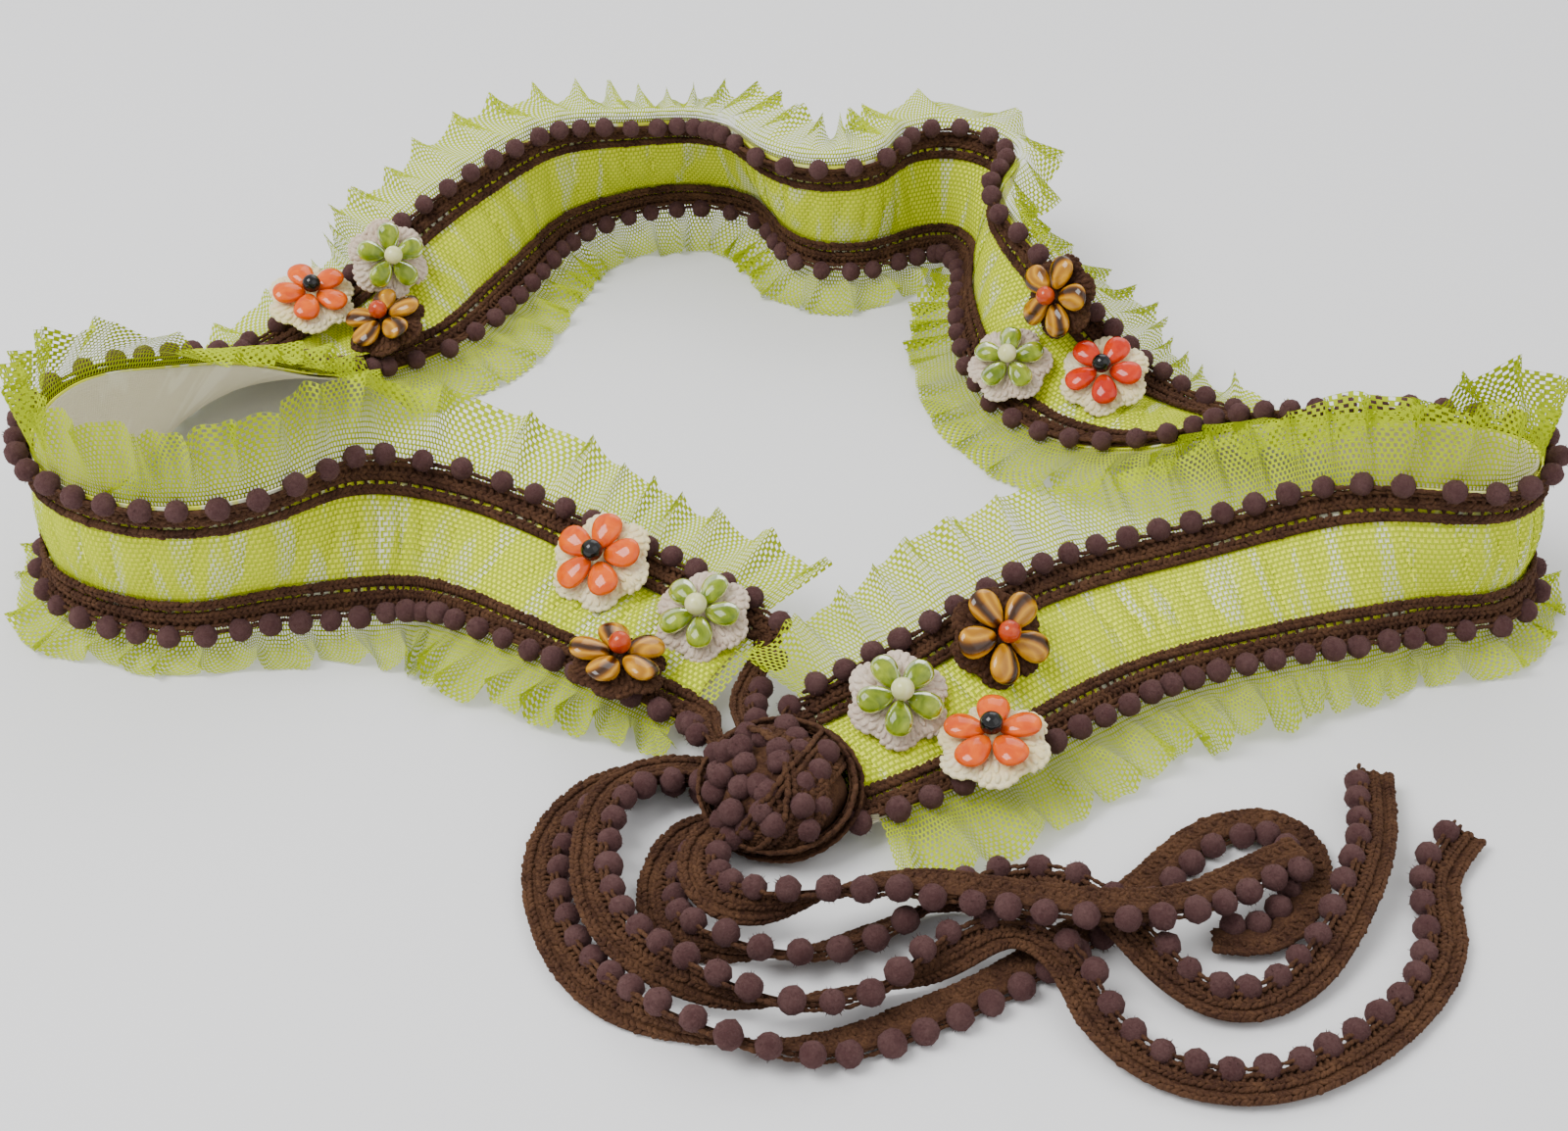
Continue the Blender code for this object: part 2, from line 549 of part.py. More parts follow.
def build():
    for thing in list(bpy.data.objects):
        bpy.data.objects.remove(thing, do_unlink=True)

    rows = []
    for _, x, y, z, roll, lean_a, lean_b, reach_a, reach_b in SECTIONS:
        spot = (x * LOOP_SPAN, y * LOOP_DEPTH, z * BAND_WIDTH)
        rows.append(spot + (roll, lean_a, lean_b, reach_a, reach_b))
    band = Route(rows)
    cuts = band.stations()

    band_strip("lining", band, cuts, flat_profile(-FIT_GAP - CLOTH_WALL, -FIT_GAP), "lining")
    band_strip("tulle_cover", band, cuts, flat_profile(0, CLOTH_WALL), "cover")
    band_strip("trim_upper", band, cuts, trim_profile(-1), "crochet")
    band_strip("trim_lower", band, cuts, trim_profile(1), "crochet")
    ruffle("ruffle_upper", band, cuts, -1, 4, 6)
    ruffle("ruffle_lower", band, cuts, 1, 5, 7)

    for name, share, across_share, turn, lift, kind in FLOWERS:
        base_colour, petal_colour, bead_colour = FLOWER_PARTS[kind]
        place = flower_place(band, share, across_share, lift)
        flower_base("flower_" + name, place, base_colour)
        on_base = place @ Matrix.Translation((0, 0, FLOWER_WALL + FIT_GAP))
        petal_ring("petals_" + name, on_base, turn, petal_colour)
        on_petals = on_base @ Matrix.Translation((0, 0, HUB_TOP + FIT_GAP))
        centre_bead("bead_" + name, on_petals, bead_colour)

    tips = (band.point(0) + band.point(band.length)) / 2
    knot_spot = Vector((tips.x, tips.y, 0)) + KNOT_FROM_TIPS * TAIL_SPAN
    knot_middle = knot_spot + UP * (KNOT_HEIGHT / 2)
    knot_body("knot", knot_middle, 0, "crochet")
    seat = knot_body("knot_cutter", knot_middle, FIT_GAP, "crochet")
    seat.hide_render = True
    seat.display_type = "WIRE"

    for name, points in TAILS.items():
        rows = []
        for x, y, layer, roll in points:
            spot = knot_spot + Vector((x * TAIL_SPAN, y * TAIL_SPAN, layer * LAYER))
            rows.append((*spot, 90 + roll))
        cut_clear(tie_ribbon(name, rows, 0.0165, 1, 1), seat)

    for name, (tip, side, points) in TIES.items():
        place = 0 if tip == "left" else band.length
        middle, along, across, face = band.frame(place)
        away = -along if tip == "left" else along
        roll = band.value(3, place) if tip == "right" else 180 - band.value(3, place)
        trim_line = side * (FACE_HALF + (TIE_TAPE + TIE_POMPOM) / 2)
        start = middle + across * trim_line + face * (TAPE_FLOOR + TAPE_WALL / 2)
        rows = [(*(start + away * (3 * FIT_GAP)), roll), (*(start + away * TIE_TAPE / 2), roll)]
        for x, y, layer in points:
            spot = knot_spot + Vector((x * TAIL_SPAN, y * TAIL_SPAN, layer * LAYER))
            rows.append((*spot, 90))
        hand = side if tip == "right" else -side
        cut_clear(tie_ribbon(name, rows, 0.008, hand, TIE_GATHER), seat)
    set_on_floor_centre()


def set_on_floor_centre():
    """Move the whole belt so that its box is centred over the origin, on the floor."""
    corners = []
    for thing in bpy.data.objects:
        corners += [vert.co for vert in thing.data.vertices]
    low = [min(corner[i] for corner in corners) for i in (0, 1)]
    high = [max(corner[i] for corner in corners) for i in (0, 1)]
    middle = Vector(((low[0] + high[0]) / 2, (low[1] + high[1]) / 2, 0))
    for thing in bpy.data.objects:
        thing.location = -middle


build()
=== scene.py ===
"""Looks of the sash belt: gathered net, crochet trims, pompoms, bead flowers and a knot of ties.

Every piece is laid on the same routes as the belt's solids.  Lengths are in metres.
X runs to the right, Y away from the front and Z up.
"""
import math

import bmesh
import bpy
import numpy as np
from bpy.props import FloatProperty, FloatVectorProperty, IntProperty, PointerProperty
from mathutils import Matrix, Vector


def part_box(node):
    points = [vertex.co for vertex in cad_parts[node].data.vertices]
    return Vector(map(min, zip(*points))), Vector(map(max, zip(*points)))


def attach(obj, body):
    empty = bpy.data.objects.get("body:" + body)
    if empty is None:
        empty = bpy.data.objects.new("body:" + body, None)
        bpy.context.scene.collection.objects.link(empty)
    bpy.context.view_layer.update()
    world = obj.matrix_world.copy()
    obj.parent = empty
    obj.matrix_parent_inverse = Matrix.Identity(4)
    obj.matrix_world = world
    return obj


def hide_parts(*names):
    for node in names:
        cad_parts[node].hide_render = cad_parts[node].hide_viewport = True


bl_info = {
    "name": "Sash belt looks",
    "version": (1, 0, 0),
    "blender": (4, 5, 0),
    "location": "3D View > Sidebar > Sash belt",
    "description": "Dresses the solids of a ruffled sash belt with net, crochet, pompoms and beads",
    "category": "Object",
}

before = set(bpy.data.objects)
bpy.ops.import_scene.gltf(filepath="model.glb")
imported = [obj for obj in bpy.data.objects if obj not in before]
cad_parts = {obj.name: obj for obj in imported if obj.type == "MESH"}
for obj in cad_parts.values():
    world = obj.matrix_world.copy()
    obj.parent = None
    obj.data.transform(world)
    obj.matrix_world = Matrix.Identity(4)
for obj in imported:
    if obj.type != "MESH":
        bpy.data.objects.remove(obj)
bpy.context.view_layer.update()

# Sizes that the belt's solids follow too
LOOP_SPAN = 0.400
LOOP_DEPTH = 0.300
BAND_WIDTH = 0.042
FACE_HALF = 0.0108
CLOTH_HALF = 0.0195
CLOTH_WALL = 0.0010
TAPE_FLOOR = 0.0013
POMPOM = 0.0058
RUFFLE_REACH = 0.0195
RUFFLE_ROOT = 0.0198
RUFFLE_FOLD = 0.0253
FLOWER_WIDTH = 0.0250
FLOWER_WALL = 0.0034
CENTRE_BEAD = 0.0058
TIE_WIDTH = 0.0116
KNOT_SIZE = (0.034, 0.036, 0.022)
KNOT_FROM_TIPS = (0.0, -0.180, 0.0)
TAIL_SPAN = 0.160
LAYER = 0.0062
TIE_GATHER = 0.45
# How far a tie's underside lies under its route, which is the height of its pompoms
TIE_DEPTH = 0.0010
# Distance of the pompoms' line from a tape's free edge
TRIM_POMPOM_LINE = 0.0102
TIE_POMPOM_LINE = 0.0091

# The ruffles fan out round the band's tips: over this last length, by this much
TIP_FAN = 0.035
TIP_SPREAD = 0.008

# How flat the pleats' panels are: near 0 they are waves, and at 3 nearly flat
PANEL = 2.0

# How the pleats wander along the band.  Columns: spacing of the changes in pleats,
# then the least and most of the pleat's usual length, or of its usual depth
PLEATS = {
    "length": (2.3, 0.7, 1.5),
    "swing": (1.7, 0.55, 1.25),
    "sway": (3.1, -1.0, 1.0),
    "fold": (1.9, 0.30, 0.80),
    "flop": (1.3, -0.35, 0.35),
}
# How much shorter the hem may be at a pleat, as a share, on the upper and lower side
HEM_SHORT = {-1: 0.18, 1: 0.26}
# Share of a ruffle next to its root that stays gathered flat
ROOT_SHARE = 0.12

# How much of the lower ruffle's reach is crushed under the band where it stands
SQUASH = 0.20

# Turn between neighbours in an even spiral, in radians
GOLDEN_ANGLE = math.pi * (3 - math.sqrt(5))

# How finely a route is followed
FINE = 0.0005

# Tables of stitches are in millimetres
MM = 0.001

# Seeds of the random draws; each tie or tail and each flower adds its number
SEEDS = {
    "cloth": 11,
    "ruffle_upper": 21, "ruffle_lower": 22,
    "trim_upper": 31, "trim_lower": 32,
    "ties": 40,
    "knot": 61,
    "flowers": 70,
}

# Cloth strips: level of the middle over the band's middle, wrinkles and thickness
LINING = (-0.0008, 0.0002, 0.0006)
COVER = (0.0004, 0.0001, 0.0004)
PUFF_SPACING = 0.0092
PUFF_HEIGHT = 0.0022
PUFF_SLANT = 0.0042
STRIP_COLUMN = 0.0011
STRIP_ROWS = 20

# Frayed strands of the lining: their places across the right tip as shares of the
# cloth's half width, how many stand at each, and a strand's width and thickness
STRAND_PLACES = (-0.9, -0.2, 0.95)
STRANDS = 3
STRAND_WIDTH = 0.0022
STRAND_WALL = 0.0004

# The cover net: its level, its width past the face, its slack for the creases and
# how far it runs past each end of the band
NET_LEVEL = 0.00095
NET_MARGIN = 0.003
NET_SLACK = 1.08
NET_OVERHANG = 0.005

# The ruffles' lowest height, and the height over which they settle on the floor
FLOOR_LEVEL = 0.0004
FLOOR_SETTLE = 0.0012

# The photograph's camera: its place over the middle of the loop, and its lens
CAMERA_BACK = 0.535
CAMERA_HEIGHT = 0.362
CAMERA_DOWN = 34.7
CAMERA_LENS = 52.0
SENSOR = 36.0

# Lamp columns: name, watts, width and place.  Each points at the middle of the floor
LAMPS = (
    ("key_light", 22.0, 0.8, (-0.75, -0.35, 1.25)),
    ("fill_light", 5.0, 1.4, (1.0, -0.7, 0.9)),
    ("back_light", 6.0, 1.0, (0.3, 1.1, 1.0)),
)
SKY = 0.90
FLOOR_REACH = 3.0

# Section columns: place, x as a share of LOOP_SPAN, y as a share of LOOP_DEPTH,
# height of the band's middle as a share of BAND_WIDTH, roll, lean of the upper and
# of the lower ruffle towards the face, and the reach of each as a share
SECTIONS = [
    ("left tip", -0.040, -0.250, 0.27, 76, 0, 14, 1.0, 0.25),
    ("left flowers", -0.100, -0.197, 0.33, 72, 0, 17, 1.0, 0.60),
    ("left front", -0.165, -0.140, 0.38, 68, 0, 20, 1.0, 1.0),
    ("left rise", -0.232, -0.103, 0.48, 55, 0, 28, 1.0, 1.0),
    ("left turn up", -0.280, -0.123, 0.64, 28, 0, 48, 1.0, 1.0),
    ("left dip", -0.328, -0.167, 0.74, -4, 0, 75, 1.0, 1.0),
    ("left stand", -0.382, -0.190, 0.74, -6, 0, 76, 1.0, 1.0),
    ("left corner", -0.435, -0.177, 0.74, -4, 0, 75, 1.0, 1.0),
    ("left bend", -0.478, -0.137, 0.74, 0, 0, 72, 1.0, 1.0),
    ("left fold", -0.498, -0.070, 0.74, 2, 0, 70, 1.0, 1.0),
    ("left return", -0.488, 0.007, 0.74, 6, -30, 67, 1.0, 1.0),
    ("left twist", -0.460, 0.077, 0.60, 20, -60, 62, 1.0, 1.0),
    ("left lie down", -0.433, 0.163, 0.43, 46, -30, 42, 1.0, 1.0),
    ("back left flat", -0.398, 0.260, 0.24, 76, -2, 8, 1.0, 1.0),
    ("back left flowers", -0.350, 0.333, 0.19, 96, 10, 0, 1.0, 1.0),
    ("back left rise", -0.303, 0.370, 0.36, 120, 26, -20, 1.0, 1.0),
    ("back left lean", -0.268, 0.423, 0.55, 142, 46, -45, 1.0, 1.0),
    ("back left stand", -0.228, 0.497, 0.69, 162, 60, -60, 1.0, 1.0),
    ("back corner", -0.188, 0.570, 0.76, 182, 74, -85, 1.0, 1.0),
    ("back crest", -0.133, 0.603, 0.79, 200, 84, -115, 1.0, 1.0),
    ("back middle", -0.075, 0.617, 0.79, 204, 86, -120, 1.0, 1.0),
    ("back turn", -0.033, 0.590, 0.79, 204, 86, -105, 1.0, 1.0),
    ("back slope", -0.010, 0.530, 0.79, 200, 84, -95, 1.0, 1.0),
    ("back hollow", 0.025, 0.490, 0.76, 194, 82, -95, 1.0, 1.0),
    ("back hollow end", 0.073, 0.497, 0.76, 186, 76, -90, 0.8, 1.0),
    ("crease start", 0.105, 0.540, 0.74, 168, 60, -80, 0.4, 1.0),
    ("crease", 0.145, 0.553, 0.72, 154, 40, -70, 0.3, 1.0),
    ("crease end", 0.172, 0.500, 0.73, 157, 50, -110, 0.5, 1.0),
    ("right wall", 0.163, 0.420, 0.74, 168, 64, -135, 1.0, 1.0),
    ("right wall end", 0.173, 0.327, 0.62, 156, 56, -115, 1.0, 1.0),
    ("back right flowers", 0.200, 0.253, 0.40, 130, 34, -60, 1.0, 1.0),
    ("back right flat", 0.235, 0.200, 0.26, 108, 12, -25, 1.0, 1.0),
    ("back right end", 0.275, 0.163, 0.24, 88, 0, -8, 1.0, 1.0),
    ("hidden start", 0.330, 0.127, 0.31, 66, -10, 26, 1.0, 1.0),
    ("hidden twist", 0.398, 0.053, 0.48, 44, -50, 46, 1.0, 1.0),
    ("hidden rise", 0.463, -0.033, 0.67, 20, -50, 60, 1.0, 1.0),
    ("right fold", 0.495, -0.113, 0.74, 4, 0, 68, 1.0, 1.0),
    ("right bend", 0.468, -0.167, 0.74, 2, 0, 70, 1.0, 1.0),
    ("right stand", 0.413, -0.177, 0.74, 8, 0, 66, 1.0, 1.0),
    ("right lean", 0.360, -0.170, 0.62, 38, 0, 38, 1.0, 1.0),
    ("right front", 0.295, -0.180, 0.48, 58, 0, 26, 1.0, 1.0),
    ("right middle", 0.225, -0.210, 0.43, 62, 0, 24, 1.0, 1.0),
    ("right swell", 0.155, -0.273, 0.45, 58, 0, 26, 1.0, 1.0),
    ("right flowers", 0.100, -0.323, 0.36, 68, 0, 18, 1.0, 1.0),
    ("right tip", 0.035, -0.367, 0.24, 78, 0, 12, 1.0, 1.0),
]

# Flower columns: name, share of the way along the band, share of BAND_WIDTH
# across it, turn of the petals in degrees, extra lift as a share of POMPOM, colours
FLOWERS = [
    ("1_orange", 0.040, -0.24, 80, 0.1, "orange"),
    ("1_green", 0.010, -0.21, 20, -0.12, "green"),
    ("1_tiger", 0.017, 0.43, 45, 0.2, "tiger"),
    ("2_orange", 0.326, 0.29, 60, 1.13, "orange"),
    ("2_green", 0.354, 0.33, 90, 0.62, "green"),
    ("2_tiger", 0.341, -0.26, 10, 0.9, "tiger"),
    ("3_tiger", 0.651, 0.43, 30, 0.8, "tiger"),
    ("3_green", 0.655, -0.22, 75, 0.5, "green"),
    ("3_red", 0.676, 0.14, 50, 0.15, "red"),
    ("4_tiger", 0.955, -0.21, 85, -0.08, "tiger"),
    ("4_green", 0.983, -0.14, 15, 0.1, "green"),
    ("4_orange", 0.972, 0.41, 55, 0.3, "orange"),
]
# Per kind of flower: yarn of the base, petal beads, centre bead, record slots of the three
FLOWER_PARTS = {
    "orange": ("cream", "orange", "black", "cream_crochet", "orange_bead", "black_bead"),
    "red": ("cream", "red", "black", "cream_crochet", "red_bead", "black_bead"),
    "green": ("beige", "green", "jade", "beige_crochet", "green_bead", "jade_bead"),
    "tiger": ("brown", "tiger", "carnelian", "brown_crochet", "tiger_eye_bead", "carnelian_bead"),
}
PETALS = 5
LOBES = 6
# Sizes by kind: width of the crochet over its lobes, then the ring that the petals'
# middles stand on, and the length, width and height of a petal bead
FLOWER_SIZES = {
    "orange": (0.0276, 0.0070, 0.0104, 0.0080, 0.0040),
    "red": (0.0270, 0.0070, 0.0100, 0.0076, 0.0040),
    "green": (0.0252, 0.0063, 0.0094, 0.0068, 0.0042),
    "tiger": (0.0250, 0.0074, 0.0106, 0.0080, 0.0044),
}

# Tail columns: x and y from the knot's middle as shares of TAIL_SPAN, height of
# the tape's middle in layers of LAYER, roll in degrees
TAILS = {
    "tail_outer": [
        (-0.04, 0.03, 0.55, 0), (-0.16, 0.085, 0.50, 0), (-0.25, 0.07, 0.50, 0),
        (-0.31, 0.01, 0.50, 0), (-0.34, -0.10, 0.50, 0), (-0.32, -0.23, 0.50, 0),
        (-0.26, -0.35, 0.70, 20), (-0.16, -0.435, 1.03, 75), (-0.04, -0.48, 0.98, 130),
        (0.08, -0.475, 0.58, 172), (0.18, -0.43, 0.50, 180), (0.27, -0.38, 0.50, 180),
        (0.36, -0.315, 0.50, 180), (0.45, -0.24, 0.50, 180), (0.56, -0.13, 0.50, 180),
        (0.66, -0.04, 0.50, 180), (0.74, -0.035, 0.50, 180), (0.77, -0.10, 0.50, 180),
        (0.74, -0.20, 0.50, 180), (0.68, -0.26, 0.50, 180), (0.61, -0.26, 0.50, 180),
    ],
    "tail_second": [
        (-0.04, 0.01, 1.50, 0), (-0.15, 0.05, 1.60, 0), (-0.23, 0.02, 1.60, 0),
        (-0.265, -0.08, 1.60, 0), (-0.26, -0.20, 1.60, 0), (-0.21, -0.31, 1.60, 15),
        (-0.12, -0.38, 1.60, 55), (-0.01, -0.425, 1.55, 120), (0.10, -0.405, 1.30, 150),
        (0.18, -0.355, 1.20, 90), (0.25, -0.31, 1.35, 25), (0.32, -0.285, 1.45, 0),
        (0.39, -0.33, 1.40, 0), (0.43, -0.42, 0.90, 0), (0.50, -0.50, 0.50, 0),
        (0.62, -0.535, 0.50, 0), (0.76, -0.48, 0.50, 0), (0.87, -0.38, 0.50, 0),
        (0.93, -0.27, 0.50, 0), (0.95, -0.15, 0.50, 0), (1.02, -0.04, 0.50, 0),
    ],
    "tail_third": [
        (-0.04, -0.03, 0.55, 0), (-0.12, -0.04, 0.50, 0), (-0.16, -0.10, 0.50, 0),
        (-0.17, -0.17, 0.50, 0), (-0.155, -0.245, 0.72, 20), (-0.10, -0.29, 1.03, 70),
        (-0.03, -0.31, 1.00, 115), (0.05, -0.305, 0.85, 145), (0.13, -0.27, 0.85, 150),
        (0.20, -0.225, 0.98, 125), (0.26, -0.195, 1.03, 85), (0.32, -0.18, 1.20, 25),
        (0.40, -0.19, 1.50, 0), (0.475, -0.26, 1.50, 0), (0.53, -0.34, 1.10, 0),
        (0.61, -0.39, 0.60, 0), (0.70, -0.36, 0.60, 0), (0.78, -0.27, 1.00, 0),
        (0.84, -0.16, 1.50, 0), (0.88, -0.03, 1.20, 0), (0.90, 0.08, 0.90, 0),
    ],
    "tail_inner": [
        (-0.02, -0.04, 1.50, 0), (-0.08, -0.08, 1.55, 0), (-0.11, -0.14, 1.55, 0),
        (-0.10, -0.20, 1.60, 10), (-0.05, -0.245, 1.90, 50), (0.04, -0.25, 2.20, 110),
        (0.14, -0.235, 2.40, 160), (0.25, -0.25, 2.50, 180), (0.37, -0.275, 2.50, 180),
        (0.50, -0.285, 2.50, 180), (0.60, -0.235, 1.80, 180), (0.69, -0.17, 1.50, 180),
        (0.76, -0.13, 1.50, 180),
    ],
}

# Tie columns: which tip, which edge (-1 upper, 1 lower), then the tape's way to
# the knot from the knot's middle, x and y as shares of TAIL_SPAN, height in layers
TIES = {
    "tie_left_upper": ("left", -1, [(-0.04, 0.26, 1.85), (-0.05, 0.14, 2.3), (-0.03, 0.05, 2.4)]),
    "tie_left_lower": ("left", 1, [(-0.115, 0.12, 2.2), (-0.075, 0.04, 2.2)]),
    "tie_right_upper": ("right", -1, [(0.016, 0.11, 2.55), (0.02, 0.04, 2.6)]),
    "tie_right_lower": ("right", 1, [(0.04, -0.02, 1.4)]),
}

# A tie leaves the band's tip this far over its middle, and runs straight this far
TIE_RISE = 0.002
TIE_STRAIGHT = 0.0033

# Stitch rows of a trim.  Columns: distance from the tape's free edge, height,
# spacing, stitch length, stitch thickness, slant in degrees.  All in millimetres
STITCH_ROWS = [
    (0.80, 0.8, 1.5, 2.6, 1.55, 32),
    (2.00, 0.9, 1.5, 2.6, 1.55, -32),
    (3.30, 0.3, 2.7, 2.1, 1.00, 86),
    (4.55, 0.9, 1.5, 2.7, 1.60, 32),
    (5.80, 1.0, 1.5, 2.7, 1.60, -32),
    (7.05, 1.0, 2.0, 2.6, 1.30, 70),
    (8.20, 1.7, 1.5, 2.5, 1.55, 16),
    (9.50, 2.5, 2.0, 2.9, 1.35, 6),
]
STITCH_SIDES = 5
STITCH_RINGS = 4
# How far a stitch strays from its row
STITCH_STRAY = 0.00010


class NetSizes(bpy.types.PropertyGroup):
    """Sizes of the ruffles' net."""
    cell: FloatProperty(
        name="Cell", description="Width of one cell of the net",
        default=0.00168, unit="LENGTH", precision=5)
    thread: FloatProperty(
        name="Ruffle thread", description="Width of the thread of the ruffles' net",
        default=0.00080, unit="LENGTH", precision=5)
    cover_thread: FloatProperty(
        name="Cover thread", description="Width of the thread of the net over the band's face",
        default=0.00052, unit="LENGTH", precision=5)
    fullness: FloatProperty(
        name="Fullness", description="Length of net gathered into each length of band", default=2.1)
    pleat: FloatProperty(
        name="Pleat", description="Usual length of band under one pleat",
        default=0.0105, unit="LENGTH", precision=4)
    depth: FloatProperty(
        name="Pleat depth", description="How far a pleat swings at the hem",
        default=0.0034, unit="LENGTH", precision=4)


class YarnSizes(bpy.types.PropertyGroup):
    """Sizes of the pompoms and their fuzz."""
    spacing: FloatProperty(
        name="Pompom spacing", description="Distance between pompoms along a tape",
        default=0.0084, unit="LENGTH", precision=4)
    hairs: IntProperty(
        name="Hairs", description="Loose fibres on each pompom", default=64, min=0)
    hair: FloatProperty(
        name="Hair length", description="How far a loose fibre stands out",
        default=0.0009, unit="LENGTH", precision=5)


class BeltColours(bpy.types.PropertyGroup):
    """Colours of the belt's materials."""
    net: FloatVectorProperty(
        name="Net", description="Yellow-green of the net",
        default=(0.44, 0.53, 0.0), subtype="COLOR", size=3)
    cloth: FloatVectorProperty(
        name="Cloth", description="Cloth under the net of the band",
        default=(0.92, 0.97, 0.07), subtype="COLOR", size=3)
    lining: FloatVectorProperty(
        name="Lining", description="Cream lining", default=(0.72, 0.66, 0.50), subtype="COLOR", size=3)
    yarn: FloatVectorProperty(
        name="Yarn", description="Dark brown yarn of the trims",
        default=(0.034, 0.0135, 0.0085), subtype="COLOR", size=3)
    yarn_light: FloatVectorProperty(
        name="Yarn lights", description="Golden brown fibres in the yarn",
        default=(0.130, 0.062, 0.030), subtype="COLOR", size=3)
    pompom: FloatVectorProperty(
        name="Pompoms", description="Plum brown of the pompoms",
        default=(0.062, 0.026, 0.026), subtype="COLOR", size=3)
    cream: FloatVectorProperty(
        name="Cream yarn", description="Yarn under the orange flowers",
        default=(0.90, 0.76, 0.38), subtype="COLOR", size=3)
    beige: FloatVectorProperty(
        name="Beige yarn", description="Yarn under the green flowers",
        default=(0.62, 0.47, 0.36), subtype="COLOR", size=3)
    orange: FloatVectorProperty(
        name="Orange beads", description="Petals of the orange flowers",
        default=(0.64, 0.068, 0.0), subtype="COLOR", size=3)
    red: FloatVectorProperty(
        name="Red beads", description="Petals of the red flower",
        default=(0.50, 0.014, 0.0), subtype="COLOR", size=3)
    green: FloatVectorProperty(
        name="Green beads", description="Petals of the green flowers",
        default=(0.16, 0.25, 0.0), subtype="COLOR", size=3)
    floor: FloatVectorProperty(
        name="Floor", description="Plain floor", default=(0.80, 0.80, 0.81), subtype="COLOR", size=3)


def smooth_curve(knots, values, places):
    """A natural cubic curve through the values, read at the places."""
    count = len(knots)
    step = np.diff(knots)
    system = np.eye(count)
    right = np.zeros(count)
    for i in range(1, count - 1):
        system[i, i - 1:i + 2] = step[i - 1], 2 * (step[i - 1] + step[i]), step[i]
        slope_after = (values[i + 1] - values[i]) / step[i]
        slope_before = (values[i] - values[i - 1]) / step[i - 1]
        right[i] = 6 * (slope_after - slope_before)
    bend = np.linalg.solve(system, right)
    i = np.clip(np.searchsorted(knots, places) - 1, 0, count - 2)
    a = (knots[i + 1] - places) / step[i]
    b = 1 - a
    curve = (a ** 3 - a) * bend[i] + (b ** 3 - b) * bend[i + 1]
    return a * values[i] + b * values[i + 1] + curve * step[i] ** 2 / 6


def unit_rows(rows):
    """Each row scaled to a length of one."""
    return rows / np.maximum(np.linalg.norm(rows, axis=1, keepdims=True), 1e-9)


class Route:
    """A rolled ribbon route, read at arrays of (along, across, out) in metres."""

    def __init__(self, rows, gather=1.0, hand=1.0):
        rows = np.array(rows, dtype=float)
        legs = np.linalg.norm(np.diff(rows[:, :3], axis=0), axis=1)
        knots = np.concatenate([[0.0], np.cumsum(legs)])
        self.length = knots[-1]
        self.places = np.linspace(0, self.length, int(self.length / FINE) + 2)
        columns = [smooth_curve(knots, rows[:, i], self.places) for i in range(rows.shape[1])]
        self.centre = np.stack(columns[:3], axis=1)
        self.along = unit_rows(np.gradient(self.centre, axis=0))
        outward = unit_rows(np.cross([0, 0, 1], self.along))
        lifted = np.cross(self.along, outward)
        self.roll = columns[3]
        roll = np.radians(self.roll)[:, None]
        self.face = np.cos(roll) * outward + np.sin(roll) * lifted
        self.across = np.cross(self.face, self.along)
        self.extra = columns[4:]
        self.gather = gather
        self.hand = hand

    def shift(self, offset):
        self.centre = self.centre + np.array(offset)

    def blend(self, table, places):
        """A per-sample table read between its samples."""
        spot = np.clip(places / self.length, 0, 1) * (len(self.places) - 1)
        low = np.minimum(spot.astype(int), len(self.places) - 2)
        part = spot - low
        if table.ndim == 2:
            part = part[:, None]
        return table[low] * (1 - part) + table[low + 1] * part

    def at(self, spots):
        """World points for rows of (along, across, out)."""
        s = spots[:, 0]
        centre = self.blend(self.centre, s)
        beyond = (s - np.clip(s, 0, self.length))[:, None]
        centre = centre + self.blend(self.along, s) * beyond
        share = np.clip(s / self.length, 0, 1)
        wide = self.hand * (1 + (self.gather - 1) * share)
        across = self.blend(self.across, s) * (spots[:, 1] * wide)[:, None]
        return centre + across + self.blend(self.face, s) * spots[:, 2:3]

    def frame(self, place):
        """Middle point, way along, way across and way out of the face."""
        place = np.array([place])
        return [Vector(self.blend(t, place)[0]) for t in (self.centre, self.along, self.across, self.face)]


def band_route():
    """The band's route, moved to where its solids are."""
    rows = []
    for _, x, y, z, roll, lean_a, lean_b, reach_a, reach_b in SECTIONS:
        spot = (x * LOOP_SPAN, y * LOOP_DEPTH, z * BAND_WIDTH)
        rows.append(spot + (roll, lean_a, lean_b, reach_a, reach_b))
    route = Route(rows)
    edges = []
    for across in (-CLOTH_HALF, CLOTH_HALF):
        for out in (-TAPE_FLOOR, -TAPE_FLOOR + CLOTH_WALL):
            spots = np.stack([route.places, np.full_like(route.places, across),
                              np.full_like(route.places, out)], axis=1)
            edges.append(route.at(spots))
    edges = np.concatenate(edges)
    low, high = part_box("lining")
    middle = (np.array(low) + np.array(high)) / 2 - (edges.min(0) + edges.max(0)) / 2
    middle[2] = 0
    tips = (route.centre[0] + route.centre[-1]) / 2
    knot_spot = Vector((tips[0], tips[1], 0)) + Vector(KNOT_FROM_TIPS) * TAIL_SPAN
    route.shift(middle)
    return route, Vector(middle), knot_spot + Vector(middle)


BAND, TABLE_SHIFT, KNOT_SPOT = band_route()


def tail_routes():
    """The routes of the four tails by name."""
    found = {}
    for name, points in TAILS.items():
        rows = []
        for x, y, layer, roll in points:
            spot = KNOT_SPOT + Vector((x * TAIL_SPAN, y * TAIL_SPAN, layer * LAYER))
            rows.append((*spot, 90 + roll))
        found[name] = Route(rows)
    return found


